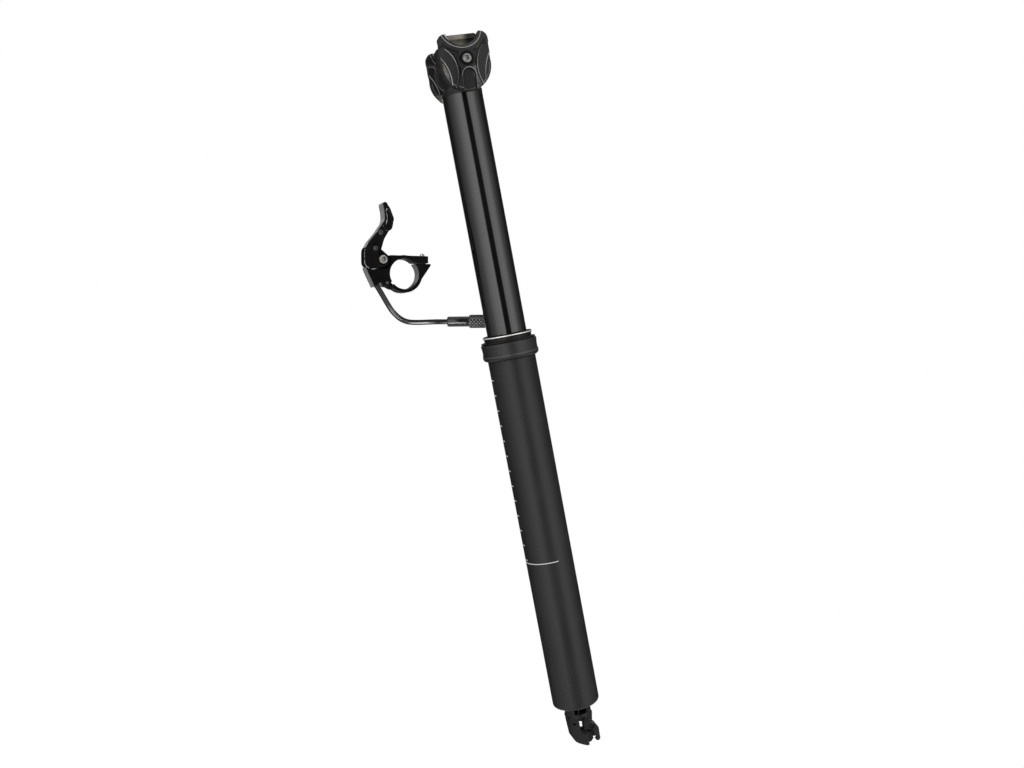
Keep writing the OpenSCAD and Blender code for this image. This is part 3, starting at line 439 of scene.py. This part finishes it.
def legLines(tree, across, up, legs):
    off = mathNode(tree, "SUBTRACT", mathNode(tree, "ABSOLUTE", across), legs["half"])
    off = mathNode(tree, "ABSOLUTE", off)
    line = mathNode(tree, "MULTIPLY", rampNode(tree, off, legs["width"], legs["width"] / 2), legs["bright"])
    return mathNode(tree, "MULTIPLY", line, mathNode(tree, "LESS_THAN", up, legs["top"]))


def makeRubbedGroup(p):
    tree, inside, outside = newGroup("rubbedEdges", [], ["Rub", "Shade"])
    place = placeFrom(tree, clampAt)
    across = dotNode(tree, place, (1 / mm, 0, 0))
    up = dotNode(tree, place, (0, 0, 1 / mm))
    rings = ringLines(tree, across, up, p["rubbedAndSheen"])
    level = mathNode(tree, "MAXIMUM", rings, legLines(tree, across, up, p["footLegs"]))
    normal = addNode(tree, "ShaderNodeNewGeometry").outputs["Normal"]
    facing = mathNode(tree, "ABSOLUTE", dotNode(tree, normal, (0, 1, 0)))
    facing = rampNode(tree, facing, *p["facing"])
    tree.links.new(mathNode(tree, "MULTIPLY", level, facing), outside.inputs["Rub"])
    tree.links.new(ringLines(tree, across, up, p["grooveShade"]), outside.inputs["Shade"])
    return tree


# Cross-cut grip round the adjuster's barrel, as two runs of threads that cross
knurlSet = {
    "starts": 11,
    "pitch": 2.6,
    "tip": (0.5, 0.72),         # of the diamonds' height, where their tips turn bright
    "depth": 0.0003,
}


def makeKnurlGroup(k, c):
    tree, inside, outside = newGroup("knurlDiamonds", [], ["Tip", "Height"])
    tilt = radians(c["adjusterTilt"])
    along = behind((cos(tilt), 0, -sin(tilt)))
    over = behind((sin(tilt), 0, cos(tilt)))
    side = behind((0, 1, 0))
    place = placeFrom(tree, behind(c["adjusterFrom"]) * mm)
    run = dotNode(tree, place, along / (k["pitch"] * mm))
    angle = mathNode(tree, "ARCTAN2", dotNode(tree, place, over), dotNode(tree, place, side))
    around = mathNode(tree, "MULTIPLY", angle, k["starts"] / (2 * pi))
    threads = []
    for operation in ("ADD", "SUBTRACT"):
        crossing = mathNode(tree, "PINGPONG", mathNode(tree, operation, around, run), 0.5)
        threads.append(mathNode(tree, "MULTIPLY", crossing, 2))
    height = mathNode(tree, "MULTIPLY", *threads)
    tree.links.new(height, outside.inputs["Height"])
    tree.links.new(rampNode(tree, height, *k["tip"]), outside.inputs["Tip"])
    return tree


groups = {
    "grain": makeGrainGroup(surfaceSet),
    "cloud": makeCloudGroup(surfaceSet),
    "edge": makeEdgeGroup(surfaceSet),
    "turned": makeTurnedGroup(surfaceSet),
    "beadHighlight": makeBeadHighlightGroup(surfaceSet),
    "marks": makeMarksGroup(markSet, radians(cameraSet["turn"])),
    "rubbedAndSheen": makeRubbedGroup(plateLines),
    "knurl": makeKnurlGroup(knurlSet, cableSet),
}
for tree in groups.values():
    arrangeNodes(tree)
print("shader groups made")


# Finishes: two colours in linear light that a cloud mixes, the roughness and its spread,
# and grain or turned lines as (scale, depth in metres)
finishes = {
    "stanchionGloss": {
        "colour": (0.0035, 0.0035, 0.0038), "second": (0.005, 0.005, 0.005), "rough": 0.1, "spread": 0.03,
        "specular": 0.55, "turned": (2600, 0.0000004)},
    "tubeMatte": {
        "colour": (0.0115, 0.0115, 0.0118), "second": (0.015, 0.015, 0.0152), "rough": 0.43, "spread": 0.05,
        "specular": 0.25, "grain": (5200, 0.00002), "marks": (0.75, 0.75, 0.75)},
    "collarSatin": {
        "colour": (0.012, 0.012, 0.0125), "second": (0.017, 0.017, 0.0175), "rough": 0.42, "spread": 0.06,
        "specular": 0.3, "grain": (4200, 0.000025), "edge": ((0.09, 0.09, 0.09), 0.35),
        "beadHighlight": (0.0034, 0.0006, (0.06, 0.06, 0.061))},
    "wiperRubber": {
        "colour": (0.004, 0.004, 0.004), "second": (0.007, 0.0068, 0.0065), "rough": 0.46, "spread": 0.08,
        "specular": 0.2, "grain": (3000, 0.00002)},
    "brightWire": {
        "colour": (0.92, 0.91, 0.88), "second": (0.82, 0.81, 0.79), "rough": 0.3, "spread": 0.06,
        "metal": 0.35, "turned": (2200, 0.000001)},
    "forgedSatin": {
        "colour": (0.007, 0.007, 0.0072), "second": (0.012, 0.012, 0.012), "rough": 0.4, "spread": 0.08,
        "specular": 0.2, "grain": (3600, 0.00003), "hollowShade": 0.9},
    "plateSatin": {
        "colour": (0.011, 0.011, 0.0112), "second": (0.02, 0.0195, 0.019), "rough": 0.42, "spread": 0.08,
        "specular": 0.16, "grain": (3600, 0.00003), "rubbedAndSheen": (0.56, 0.55, 0.53), "hollowShade": 0.95},
    "leafCast": {
        "colour": (0.3, 0.28, 0.25), "second": (0.05, 0.047, 0.043), "rough": 0.55, "spread": 0.1,
        "cloud": 900, "specular": 0.3, "grain": (1600, 0.00006)},
    # the groove darkens towards its ends as painted shade
    "grooveGrey": {
        "colour": (0.3, 0.275, 0.235), "second": (0.2, 0.18, 0.15), "rough": 0.5, "spread": 0.1,
        "cloud": 300, "specular": 0.2, "turned": (2400, 0.000004),
        "grooveEndShade": ((-0.009, -0.006), (0.001, 0.007))},
    "boltSteel": {
        "colour": (0.55, 0.54, 0.52), "second": (0.4, 0.39, 0.37), "rough": 0.33, "spread": 0.1,
        "metal": 1, "grain": (5000, 0.00001), "edge": ((0.8, 0.79, 0.77), 0.5)},
    "boltDull": {
        "colour": (0.27, 0.26, 0.245), "second": (0.1, 0.098, 0.092), "rough": 0.42, "spread": 0.14,
        "cloud": 420, "metal": 0.8, "grain": (2600, 0.00003), "edge": ((0.4, 0.39, 0.37), 0.4)},
    "screwDark": {
        "colour": (0.06, 0.059, 0.057), "second": (0.015, 0.015, 0.0148), "rough": 0.33, "spread": 0.1,
        "cloud": 420, "metal": 0.8, "grain": (5000, 0.00001)},
    "blackSteel": {
        "colour": (0.003, 0.003, 0.003), "second": (0.005, 0.005, 0.005), "rough": 0.4, "spread": 0.08,
        "specular": 0.06, "grain": (5000, 0.00001)},
    "remoteSatin": {
        "colour": (0.003, 0.003, 0.0031), "second": (0.005, 0.005, 0.005), "rough": 0.36, "spread": 0.06,
        "specular": 0.05, "grain": (6000, 0.00001), "edge": ((0.03, 0.03, 0.03), 0.4)},
    "leverGloss": {
        "colour": (0.003, 0.003, 0.0031), "second": (0.005, 0.005, 0.005), "rough": 0.3, "spread": 0.05,
        "specular": 0.06, "grain": (6000, 0.000008), "edge": ((0.16, 0.16, 0.16), 0.8)},
    # a copy of the lever's finish without reflection: painted shade on its lower sides, and no reflection on
    # its front
    "leverShadeCopy": {
        "colour": (0.004, 0.004, 0.0041), "second": (0.007, 0.007, 0.007), "rough": 0.5, "spread": 0.06,
        "specular": 0, "grain": (6000, 0.000008)},
    # a painted highlight for the lever's edge streaks
    "leverHighlight": {
        "colour": (0.42, 0.42, 0.41), "second": (0.04, 0.04, 0.04), "rough": 0.35, "spread": 0.06,
        "cloud": 600, "specular": 0.2, "grain": (6000, 0.000008)},
    "actuatorSatin": {
        "colour": (0.012, 0.012, 0.0122), "second": (0.019, 0.019, 0.019), "rough": 0.45, "spread": 0.07,
        "specular": 0.16, "grain": (3800, 0.00002), "hollowShade": 0.8},
    "housingPolymer": {
        "colour": (0.004, 0.004, 0.004), "second": (0.007, 0.007, 0.007), "rough": 0.22, "spread": 0.04,
        "specular": 0.2, "grain": (2600, 0.000008)},
    "adjusterBlack": {
        "colour": (0.006, 0.006, 0.0063), "second": (0.01, 0.01, 0.01), "rough": 0.16, "spread": 0.04,
        "specular": 0.35, "grain": (6000, 0.000004)},
    "adjusterKnurl": {
        "colour": (0.005, 0.005, 0.0052), "second": (0.009, 0.009, 0.009), "rough": 0.3, "spread": 0.06,
        "specular": 0.25, "knurl": (0.36, 0.355, 0.345), "grain": (6000, 0.000004)},
    "sealRubber": {
        "colour": (0.012, 0.012, 0.012), "second": (0.02, 0.02, 0.02), "rough": 0.6, "spread": 0.1,
        "specular": 0.4, "grain": (2500, 0.00002)},
    "bushPolymer": {
        "colour": (0.16, 0.15, 0.13), "second": (0.2, 0.19, 0.17), "rough": 0.5, "spread": 0.1,
        "specular": 0.4, "grain": (3000, 0.00002)},
    "keyBrass": {
        "colour": (0.5, 0.34, 0.1), "second": (0.42, 0.28, 0.09), "rough": 0.3, "spread": 0.1,
        "metal": 1, "turned": (2000, 0.000002)},
    "clearAnodised": {
        "colour": (0.5, 0.5, 0.52), "second": (0.42, 0.42, 0.44), "rough": 0.32, "spread": 0.08,
        "metal": 1, "turned": (2400, 0.000002)},
}
finishes["remoteFlat"] = {**finishes["remoteSatin"], "specular": 0}

paintedShadeBlack = (0.002, 0.002, 0.002)    # painted shade in hollows, along the plates' grooves and towards the ends of the cradles' grooves
plainCloud = 45                      # scale of the cloud where a finish gives none
rubbedUneven = 0.4                   # how much the cloud takes off a rubbed line, which is partly painted highlight


def mixColours(tree, factor, first, second):
    node = addNode(tree, "ShaderNodeMix", data_type="RGBA")
    tree.links.new(factor, node.inputs["Factor"])
    for socket, value in ((node.inputs[6], first), (node.inputs[7], second)):
        if isinstance(value, tuple):
            socket.default_value = (*value, 1)
        else:
            tree.links.new(value, socket)
    return node.outputs[2]


def placeGroup(tree, name, **values):
    node = addNode(tree, "ShaderNodeGroup", node_tree=groups[name])
    for key, value in values.items():
        node.inputs[key].default_value = value
    return node


# Colours laid over a finish's own, each with the mask that shows it
def coloursOver(tree, f, cloud):
    layers = []
    # edges lighter: partly wear, partly painted highlight
    if "edge" in f:
        shine, amount = f["edge"]
        edgeWearAndSheen = placeGroup(tree, "edge").outputs["Edge"]
        layers.append((mathNode(tree, "MULTIPLY", edgeWearAndSheen, amount), shine))
    # hollows darker: painted shade
    if "hollowShade" in f:
        deep = placeGroup(tree, "edge").outputs["Hollow"]
        layers.append((mathNode(tree, "MULTIPLY", deep, f["hollowShade"]), paintedShadeBlack))
    # bright plate edge lines, partly rubbed wear and partly painted highlight, and painted shade along their
    # grooves
    if "rubbedAndSheen" in f:
        rub = placeGroup(tree, "rubbedAndSheen")
        uneven = mathNode(tree, "MULTIPLY_ADD", cloud, rubbedUneven, 1 - rubbedUneven)
        layers.append((rub.outputs["Shade"], paintedShadeBlack))
        layers.append((mathNode(tree, "MULTIPLY", rub.outputs["Rub"], uneven), f["rubbedAndSheen"]))
    if "knurl" in f:
        layers.append((placeGroup(tree, "knurl").outputs["Tip"], f["knurl"]))
    if "grooveEndShade" in f:    # painted shade: lighter in the middle of the groove, darker towards its ends
        (leftDark, leftUnshaded), (rightUnshaded, rightDark) = f["grooveEndShade"]
        along = dotNode(tree, objectPlace(tree), (1, 0, 0))
        left = rampNode(tree, along, leftDark, leftUnshaded)
        right = rampNode(tree, along, rightDark, rightUnshaded)
        unshaded = mathNode(tree, "MULTIPLY", left, right)
        layers.append((mathNode(tree, "SUBTRACT", 1, unshaded), paintedShadeBlack))
    # painted highlight along the collar's bead
    if "beadHighlight" in f:
        height, half, shine = f["beadHighlight"]
        layers.append((placeGroup(tree, "beadHighlight", Height=height, Half=half).outputs["Line"], shine))
    if "marks" in f:
        layers.append((placeGroup(tree, "marks").outputs["Mark"], f["marks"]))
    return layers


def bumpsOver(tree, f):
    bumps = []
    for name in ("grain", "turned"):
        if name in f:
            scale, depth = f[name]
            bumps.append((placeGroup(tree, name, Scale=scale).outputs["Height"], depth))
    if "knurl" in f:
        bumps.append((placeGroup(tree, "knurl").outputs["Height"], knurlSet["depth"]))
    return bumps


def makeFinish(name, f):
    material = bpy.data.materials.new(name)
    material.use_nodes = True
    tree = material.node_tree
    shader = tree.nodes["Principled BSDF"]
    shader.inputs["Metallic"].default_value = f.get("metal", 0)
    shader.inputs["Specular IOR Level"].default_value = f.get("specular", 0.5)
    cloud = placeGroup(tree, "cloud", Scale=f.get("cloud", plainCloud)).outputs["Cloud"]
    rough = mathNode(tree, "MULTIPLY_ADD", cloud, f["spread"], f["rough"] - f["spread"] / 2)
    tree.links.new(rough, shader.inputs["Roughness"])
    colour = mixColours(tree, cloud, f["colour"], f["second"])
    for mask, over in coloursOver(tree, f, cloud):
        colour = mixColours(tree, mask, colour, over)
    tree.links.new(colour, shader.inputs["Base Color"])
    normal = None
    for height, depth in bumpsOver(tree, f):
        bump = addNode(tree, "ShaderNodeBump")
        bump.inputs["Distance"].default_value = depth
        tree.links.new(height, bump.inputs["Height"])
        if normal is not None:
            tree.links.new(normal, bump.inputs["Normal"])
        normal = bump.outputs["Normal"]
    tree.links.new(normal, shader.inputs["Normal"])
    arrangeNodes(tree)
    return material


materials = {name: makeFinish(name, f) for name, f in finishes.items()}
print("finishes made,", len(materials))


# Which finish each node takes and the width of the rounding on its edges,
# or with a grid the number of softening passes and the grid's step
dressing = {
    "outer_tube": ("tubeMatte", 0.2),
    "seal_head": ("collarSatin", 0.2),
    "dust_wiper": ("wiperRubber", 0.12),
    "wiper_ring": ("brightWire", 0),
    "stanchion": ("stanchionGloss", 0.15),
    "saddle_head": ("forgedSatin", 0.3),
    "cradle_near": ("forgedSatin", 0.3),
    "cradle_far": ("forgedSatin", 0.3),
    "plate_near": ("plateSatin", 2, 0.28),
    "plate_far": ("plateSatin", 2, 0.28),
    "clamp_bolt": ("boltDull", 0.2),
    "clamp_nut": ("blackSteel", 0.15),
    "bolt_washer": ("boltSteel", 0.1),
    "base_cap": ("collarSatin", 0.3),
    "actuator_bracket": ("actuatorSatin", 1, 0.25),
    "actuator_lever": ("actuatorSatin", 1, 0.25),
    "actuator_pin": ("actuatorSatin", 0.2),
    "remote_bracket": ("remoteSatin", 3, 0.25),
    "clamp_jaw": ("remoteSatin", 3, 0.25),
    "jaw_pin": ("screwDark", 0.2),
    "clamp_screw": ("boltSteel", 0.15),
    "thumb_lever": ("leverGloss", 8, 0.25),
    "lever_bush": ("keyBrass", 0.1),
    "lever_bolt": ("boltDull", 0.25),
    "lever_screws": ("screwDark", 0.15),
    "cable_anchor": ("boltSteel", 0.2),
    "adjuster_sleeve": ("adjusterBlack", 0.25),
    "adjuster_barrel": ("adjusterKnurl", 0.1),
    "hank_tie": ("sealRubber", 0.3),
    "end_ferrule": ("housingPolymer", 0.2),
    "wire_end": ("boltSteel", 0.15),
}
insideFinish = {
    "upper_bushing": "bushPolymer", "lower_bushing": "bushPolymer", "cartridge_guide": "bushPolymer",
    "seal_ring": "sealRubber", "top_out_bumper": "sealRubber", "bottom_bumper": "sealRubber",
    "gland_seal": "sealRubber", "piston_seal": "sealRubber", "floating_seal": "sealRubber",
    "guide_keys": "keyBrass", "cartridge_tube": "clearAnodised", "cartridge_plug": "clearAnodised",
    "gland": "clearAnodised", "piston": "clearAnodised", "floating_piston": "clearAnodised",
    "piston_nut": "boltSteel", "piston_rod": "boltSteel", "rod_nut": "boltSteel", "valve_pin": "boltSteel",
}


def setFinish(piece, name):
    piece.data.materials.clear()
    piece.data.materials.append(materials[name])


def takeUp(piece):
    bpy.ops.object.select_all(action="DESELECT")
    piece.select_set(True)
    bpy.context.view_layer.objects.active = piece


# Blocks joined to a node before its grid, by their corners in mm,
# and how far the left side leans in at the foot
addedForms = {
    "actuator_bracket": {"low": (-1, 2.9, -287), "high": (3.3, 6.4, -285.3), "lean": 0},
    "actuator_lever": {"low": (5.6, 2.8, -291.2), "high": (8.8, 5.7, -284.5), "lean": 1},
}


def addForm(piece, form):
    low, high = Vector(form["low"]) * mm, Vector(form["high"]) * mm
    middle = (low + high) / 2
    bpy.ops.object.select_all(action="DESELECT")
    bpy.ops.mesh.primitive_cube_add(size=1, location=middle, scale=high - low)
    block = bpy.context.object
    bpy.ops.object.transform_apply(location=True, rotation=False, scale=True)
    for point in block.data.vertices:
        if point.co.x < middle.x and point.co.z < middle.z:
            point.co.x += form["lean"] * mm
    piece.select_set(True)
    bpy.context.view_layer.objects.active = piece
    bpy.ops.object.join()


# How a copy of a node is merged, softened and smoothed
dressSet = {
    "merge": 0.002,             # mm
    "flat": 0.4,                # degrees within which faces become one
    "keptTriangles": {"seal_head", "hank_tie"},     # as one, their flat faces would cross over openings
    "softening": 0.5,
    "bevelSteps": 2,
    "bevelFrom": 32,            # degrees between faces
    "smoothBelow": 38,
}


def mergeFaces(piece, node, d):
    takeUp(piece)
    bpy.ops.object.mode_set(mode="EDIT")
    bpy.ops.mesh.select_all(action="SELECT")
    bpy.ops.mesh.remove_doubles(threshold=d["merge"] * mm)
    if node not in d["keptTriangles"]:
        bpy.ops.mesh.dissolve_limited(angle_limit=radians(d["flat"]))
    bpy.ops.object.mode_set(mode="OBJECT")


# An even fine grid, so that edges and hollows show in the finish
def softenGrid(piece, passes, grid, d):
    remesh = piece.modifiers.new("grid", "REMESH")
    remesh.mode = "VOXEL"
    remesh.voxel_size = grid * mm
    bpy.ops.object.modifier_apply(modifier=remesh.name)
    smooth = piece.modifiers.new("soft", "SMOOTH")
    smooth.factor = d["softening"]
    smooth.iterations = passes
    bpy.ops.object.modifier_apply(modifier=smooth.name)


def roundEdges(piece, width, d):
    bevel = piece.modifiers.new("rounding", "BEVEL")
    bevel.width = width * mm
    bevel.segments = d["bevelSteps"]
    bevel.limit_method = "ANGLE"
    bevel.angle_limit = radians(d["bevelFrom"])
    bevel.miter_outer = "MITER_ARC"
    bevel.use_clamp_overlap = True
    bpy.ops.object.modifier_apply(modifier=bevel.name)


def dressNode(node, finish, rounding, grid=None):
    piece = bpy.data.objects.new("dressed_" + node, nodes[node].data.copy())
    bpy.context.scene.collection.objects.link(piece)
    setFinish(piece, finish)
    mergeFaces(piece, node, dressSet)
    if node in addedForms:
        addForm(piece, addedForms[node])
    if grid:
        softenGrid(piece, rounding, grid, dressSet)
    elif rounding:
        roundEdges(piece, rounding, dressSet)
    bpy.ops.object.shade_smooth_by_angle(angle=radians(dressSet["smoothBelow"]))
    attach(piece, bodyOf[node])
    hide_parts(node)
    return piece


dressed = {node: dressNode(node, *look) for node, look in dressing.items()}
for node, finish in insideFinish.items():
    setFinish(nodes[node], finish)
for piece in (frontHousing, rearHousing):
    setFinish(piece, "housingPolymer")
print("pieces dressed,", len(dressed))


# The clamp's faces, in mm from the bolt's axis: cast leaves on the plates, the lighter cast colour on the
# left leaf only as painted light, a painted highlight on the far plate's inner side, and dull grooves in the
# cradles
clampSet = {
    "half": 17.5,
    "rise": 18.1,
    "drop": 20.8,
    "rim": 1.1,
    "front": 25.4,
    "leafR": 28.9,
    "leafFacing": 0.8,
    "grooveFrom": 6,
    "grooveTo": 17.4,
    "farLitPatch": (-6, -12),      # the far plate's lower left, painted lighter on its inner side as a painted highlight
    "farFacing": 0.3,
}


def inClamp(face):
    return (face.center - clampAt) / mm


def insideOutline(c, place):
    if place.z > 0:
        return min(c["half"] - abs(place.x), c["rise"] - place.z)
    return c["half"] - Vector((place.x, place.z + c["drop"] - c["half"])).length


def paintPlate(piece, c):
    piece.data.materials.append(materials["leafCast"])
    # only the left leaf takes the lighter cast colour, as painted light from the left
    leafAt = Vector(leavesAt[0])
    for face in piece.data.polygons:
        place = inClamp(face)
        onFront = abs(place.y) > c["front"] and insideOutline(c, place) > c["rim"]
        inLeaf = (place.xz - leafAt).length < c["leafR"]
        if onFront and inLeaf and abs(face.normal.y) > c["leafFacing"]:
            face.material_index = 1


# painted highlight on the far plate's lower left, inner side
def paintFarPlate(piece, c):
    for face in piece.data.polygons:
        place = inClamp(face)
        inLitPatch = place.x < c["farLitPatch"][0] and place.z < c["farLitPatch"][1]
        if inLitPatch and face.normal.y < -c["farFacing"]:
            face.material_index = 1


def paintCradle(piece, c):
    piece.data.materials.append(materials["grooveGrey"])
    for face in piece.data.polygons:
        face.material_index = int(c["grooveFrom"] < inClamp(face).z < c["grooveTo"])


for node in ("plate_near", "plate_far"):
    paintPlate(dressed[node], clampSet)
    dressed[node].visible_glossy = False    # the polished stanchion below shows the panels only
paintFarPlate(dressed["plate_far"], clampSet)
for node in ("cradle_near", "cradle_far"):
    paintCradle(dressed[node], clampSet)
print("clamp painted")


# The remote's dull faces, the lever's painted shade low down and its painted highlight streaks along edges,
# by how squarely a face looks ahead or aside
remoteFaces = {
    "flat": 0.85,               # front and back of the bracket and the jaw
    "leverFront": 0.93,
    "shadedBelow": 18.6,          # mm up from the bar's centre, under which the lever's sides take the dull copy as painted shade
    "edge": (0.3, 0.93),
    "edgeAside": 0.25,
    # painted highlight streaks: from and to in mm up, and 1 on the arm's own left edge or -1 in the pad's
    # dish
    "highlightStreaks": [(3, 17, 1), (35.5, 50, -1)],
}


def remoteWay(way):
    return fromRemote(way) - fromRemote((0, 0, 0))


def onHighlightStreak(s, height, aside):
    return any(low < height < high and aside * side > s["edgeAside"] for low, high, side in s["highlightStreaks"])


def paintLever(piece, s):
    piece.data.materials.append(materials["leverShadeCopy"])
    piece.data.materials.append(materials["leverHighlight"])
    middle = fromRemote((0, 0, 0))
    ahead, left, up = [remoteWay(way) for way in ((0, -1, 0), (-1, 0, 0), (0, 0, 1))]
    for face in piece.data.polygons:
        height = (face.center / mm - middle).dot(up)
        facing = face.normal.dot(ahead)
        onEdge = s["edge"][0] < facing < s["edge"][1]
        if onEdge and onHighlightStreak(s, height, face.normal.dot(left)):
            face.material_index = 2
        elif facing > s["leverFront"] or height < s["shadedBelow"]:
            face.material_index = 1


def paintRemote(piece, s):
    piece.data.materials.append(materials["remoteFlat"])
    ahead = remoteWay((0, -1, 0))
    for face in piece.data.polygons:
        face.material_index = int(abs(face.normal.dot(ahead)) > s["flat"])


paintLever(dressed["thumb_lever"], remoteFaces)
for node in ("remote_bracket", "clamp_jaw"):
    paintRemote(dressed[node], remoteFaces)
print("remote painted")


# Studio: white backdrop, pale floor and two tall soft panels beside the camera
studio = {
    "floorHeight": -1.5,
    "floorSize": 1.8,
    "floorSides": 96,
    "floorColour": 0.9,
    "floorRough": 0.8,
    "floorGlow": 1.06,      # with the shaded share the floor comes out white
    "floorWhite": 0.86,
    "fill": 0.62,           # light on dull surfaces, and the panels' share added to it
    "panelFill": 0.16,
    "backdropHalf": 18,     # degrees of white backdrop that shine shows behind the post
    "backdropSoft": 4,
    "panelHeight": 48,      # degrees above and below level
    "panelSoft": 8,
    "top": 1.3,
    # degrees from the camera, left is negative, and how bright the studio is there
    "panels": [
        (-180, 0.03), (-125, 0.04), (-108, 0.14), (-97, 0.36), (-67, 1.0), (-45, 1.9),
        (-23, 2.8), (-5, 2.7), (-1, 0.05), (26, 0.05), (30, 2.2), (53, 2.6),
        (67, 2.0), (81, 0.9), (97, 0.45), (112, 0.16), (128, 0.05), (180, 0.03)],
}


def panelRamp(tree, angle, panels):
    share = mathNode(tree, "MULTIPLY_ADD", angle, 1 / (2 * pi), 0.5)
    ramp = addNode(tree, "ShaderNodeValToRGB")
    strongest = max(level for degrees, level in panels)
    stops = ramp.color_ramp.elements
    while len(stops) < len(panels):
        stops.new(0.5)
    for stop, (degrees, level) in zip(stops, panels):
        stop.position = degrees / 360 + 0.5
        stop.color = (*[level / strongest] * 3, 1)
    tree.links.new(share, ramp.inputs["Fac"])
    return mathNode(tree, "MULTIPLY", ramp.outputs["Color"], strongest)


def mixLevels(tree, factor, first, second):
    node = addNode(tree, "ShaderNodeMix", data_type="FLOAT")
    tree.links.new(factor, node.inputs["Factor"])
    for socket, value in ((node.inputs[2], first), (node.inputs[3], second)):
        if isinstance(value, (int, float)):
            socket.default_value = value
        else:
            tree.links.new(value, socket)
    return node.outputs[0]


def makeWorld(s, c):
    world = bpy.data.worlds.new("studio")
    bpy.context.scene.world = world
    world.use_nodes = True
    world.cycles.sampling_method = "NONE"
    tree = world.node_tree
    turn = radians(c["turn"])
    way = addNode(tree, "ShaderNodeTexCoord").outputs["Generated"]
    front = dotNode(tree, way, (sin(turn), -cos(turn), 0))
    side = dotNode(tree, way, (cos(turn), sin(turn), 0))
    height = dotNode(tree, way, (0, 0, 1))
    panel = panelRamp(tree, mathNode(tree, "ARCTAN2", side, front), s["panels"])
    inner = sin(radians(s["panelHeight"]))
    outer = sin(radians(s["panelHeight"] + s["panelSoft"]))
    low = rampNode(tree, height, -outer, -inner)
    high = rampNode(tree, height, outer, inner)
    panel = mathNode(tree, "MULTIPLY", panel, mathNode(tree, "MULTIPLY", low, high))
    over = mathNode(tree, "MULTIPLY", mathNode(tree, "SUBTRACT", 1, high), s["top"])
    near = cos(radians(s["backdropHalf"]))
    far = cos(radians(s["backdropHalf"] + s["backdropSoft"]))
    backdrop = rampNode(tree, front, -far, -near)
    shine = mathNode(tree, "MAXIMUM", mathNode(tree, "ADD", panel, over), backdrop)
    soft = mathNode(tree, "MULTIPLY_ADD", shine, s["panelFill"], s["fill"])
    path = addNode(tree, "ShaderNodeLightPath").outputs
    mirror = mathNode(tree, "MAXIMUM", path["Is Glossy Ray"], path["Is Transmission Ray"])
    level = mixLevels(tree, path["Is Camera Ray"], mixLevels(tree, mirror, soft, shine), 1)
    background = tree.nodes["Background"]
    background.inputs["Color"].default_value = (1, 1, 1, 1)
    tree.links.new(level, background.inputs["Strength"])
    arrangeNodes(tree)


def makeFloor(s):
    bpy.ops.object.select_all(action="DESELECT")
    bpy.ops.mesh.primitive_circle_add(
        vertices=s["floorSides"], radius=s["floorSize"], fill_type="NGON", location=(0, 0, s["floorHeight"]))
    floorPiece = bpy.context.object
    floorPiece.name = "floor"
    material = bpy.data.materials.new("paleFloor")
    material.use_nodes = True
    tree = material.node_tree
    shader = tree.nodes["Principled BSDF"]
    shader.inputs["Base Color"].default_value = (*[s["floorColour"]] * 3, 1)
    shader.inputs["Roughness"].default_value = s["floorRough"]
    white = addNode(tree, "ShaderNodeEmission")
    white.inputs["Strength"].default_value = s["floorGlow"]
    path = addNode(tree, "ShaderNodeLightPath").outputs
    seen = mathNode(tree, "MAXIMUM", path["Is Camera Ray"], path["Is Glossy Ray"])
    seen = mathNode(tree, "MAXIMUM", seen, path["Is Transmission Ray"])
    seen = mathNode(tree, "MULTIPLY", seen, s["floorWhite"])
    mix = addNode(tree, "ShaderNodeMixShader")
    tree.links.new(seen, mix.inputs["Fac"])
    tree.links.new(shader.outputs["BSDF"], mix.inputs[1])
    tree.links.new(white.outputs["Emission"], mix.inputs[2])
    tree.links.new(mix.outputs["Shader"], tree.nodes["Material Output"].inputs["Surface"])
    arrangeNodes(tree)
    floorPiece.data.materials.append(material)


# Small soft lamps for the sides and undersides of the remote, cable and adjuster, which alone see them
remotePieces = [dressed[node] for node in ("remote_bracket", "clamp_jaw", "thumb_lever")]
adjusterPieces = [dressed[node] for node in ("adjuster_sleeve", "adjuster_barrel")]
lampReach = 0.5    # metres from the remote
remoteLamps = {
    "remoteSide": {"turn": -131, "rise": 8, "size": (0.5, 0.5), "watts": 2, "lights": remotePieces},
    "remoteUnder": {"turn": 0, "rise": -66, "size": (0.2, 0.2), "watts": 6, "lights": remotePieces},
    "cableUnder": {"turn": 0, "rise": -56, "size": (0.3, 0.3), "watts": 5, "lights": [frontHousing]},
    "cableRight": {"turn": 85, "rise": -37, "size": (0.4, 0.4), "watts": 18, "lights": [frontHousing]},
    "adjusterStrip": {"turn": 0, "rise": -36, "size": (1.2, 0.04), "watts": 9, "lights": adjusterPieces},
}


def makeRemoteLamp(name, s, c):
    lit = bpy.data.collections.new(name + "Lit")
    for piece in s["lights"]:
        lit.objects.link(piece)
    data = bpy.data.lights.new(name, "AREA")
    data.shape = "RECTANGLE"
    data.size, data.size_y = s["size"]
    data.energy = s["watts"]
    lamp = bpy.data.objects.new(name, data)
    bpy.context.scene.collection.objects.link(lamp)
    turn, rise = radians(c["turn"] + s["turn"]), radians(s["rise"])
    way = Vector((sin(turn) * cos(rise), -cos(turn) * cos(rise), sin(rise)))
    place = Vector(cableSet["remoteAt"]) * mm + way * lampReach
    lamp.matrix_world = Matrix.Translation(place) @ way.to_track_quat("Z", "Y").to_matrix().to_4x4()
    lamp.visible_camera = False
    lamp.light_linking.receiver_collection = lit


makeWorld(studio, cameraSet)
makeFloor(studio)
for name, lamp in remoteLamps.items():
    makeRemoteLamp(name, lamp, cameraSet)
bpy.context.scene.view_settings.view_transform = "Standard"
print("studio lit")
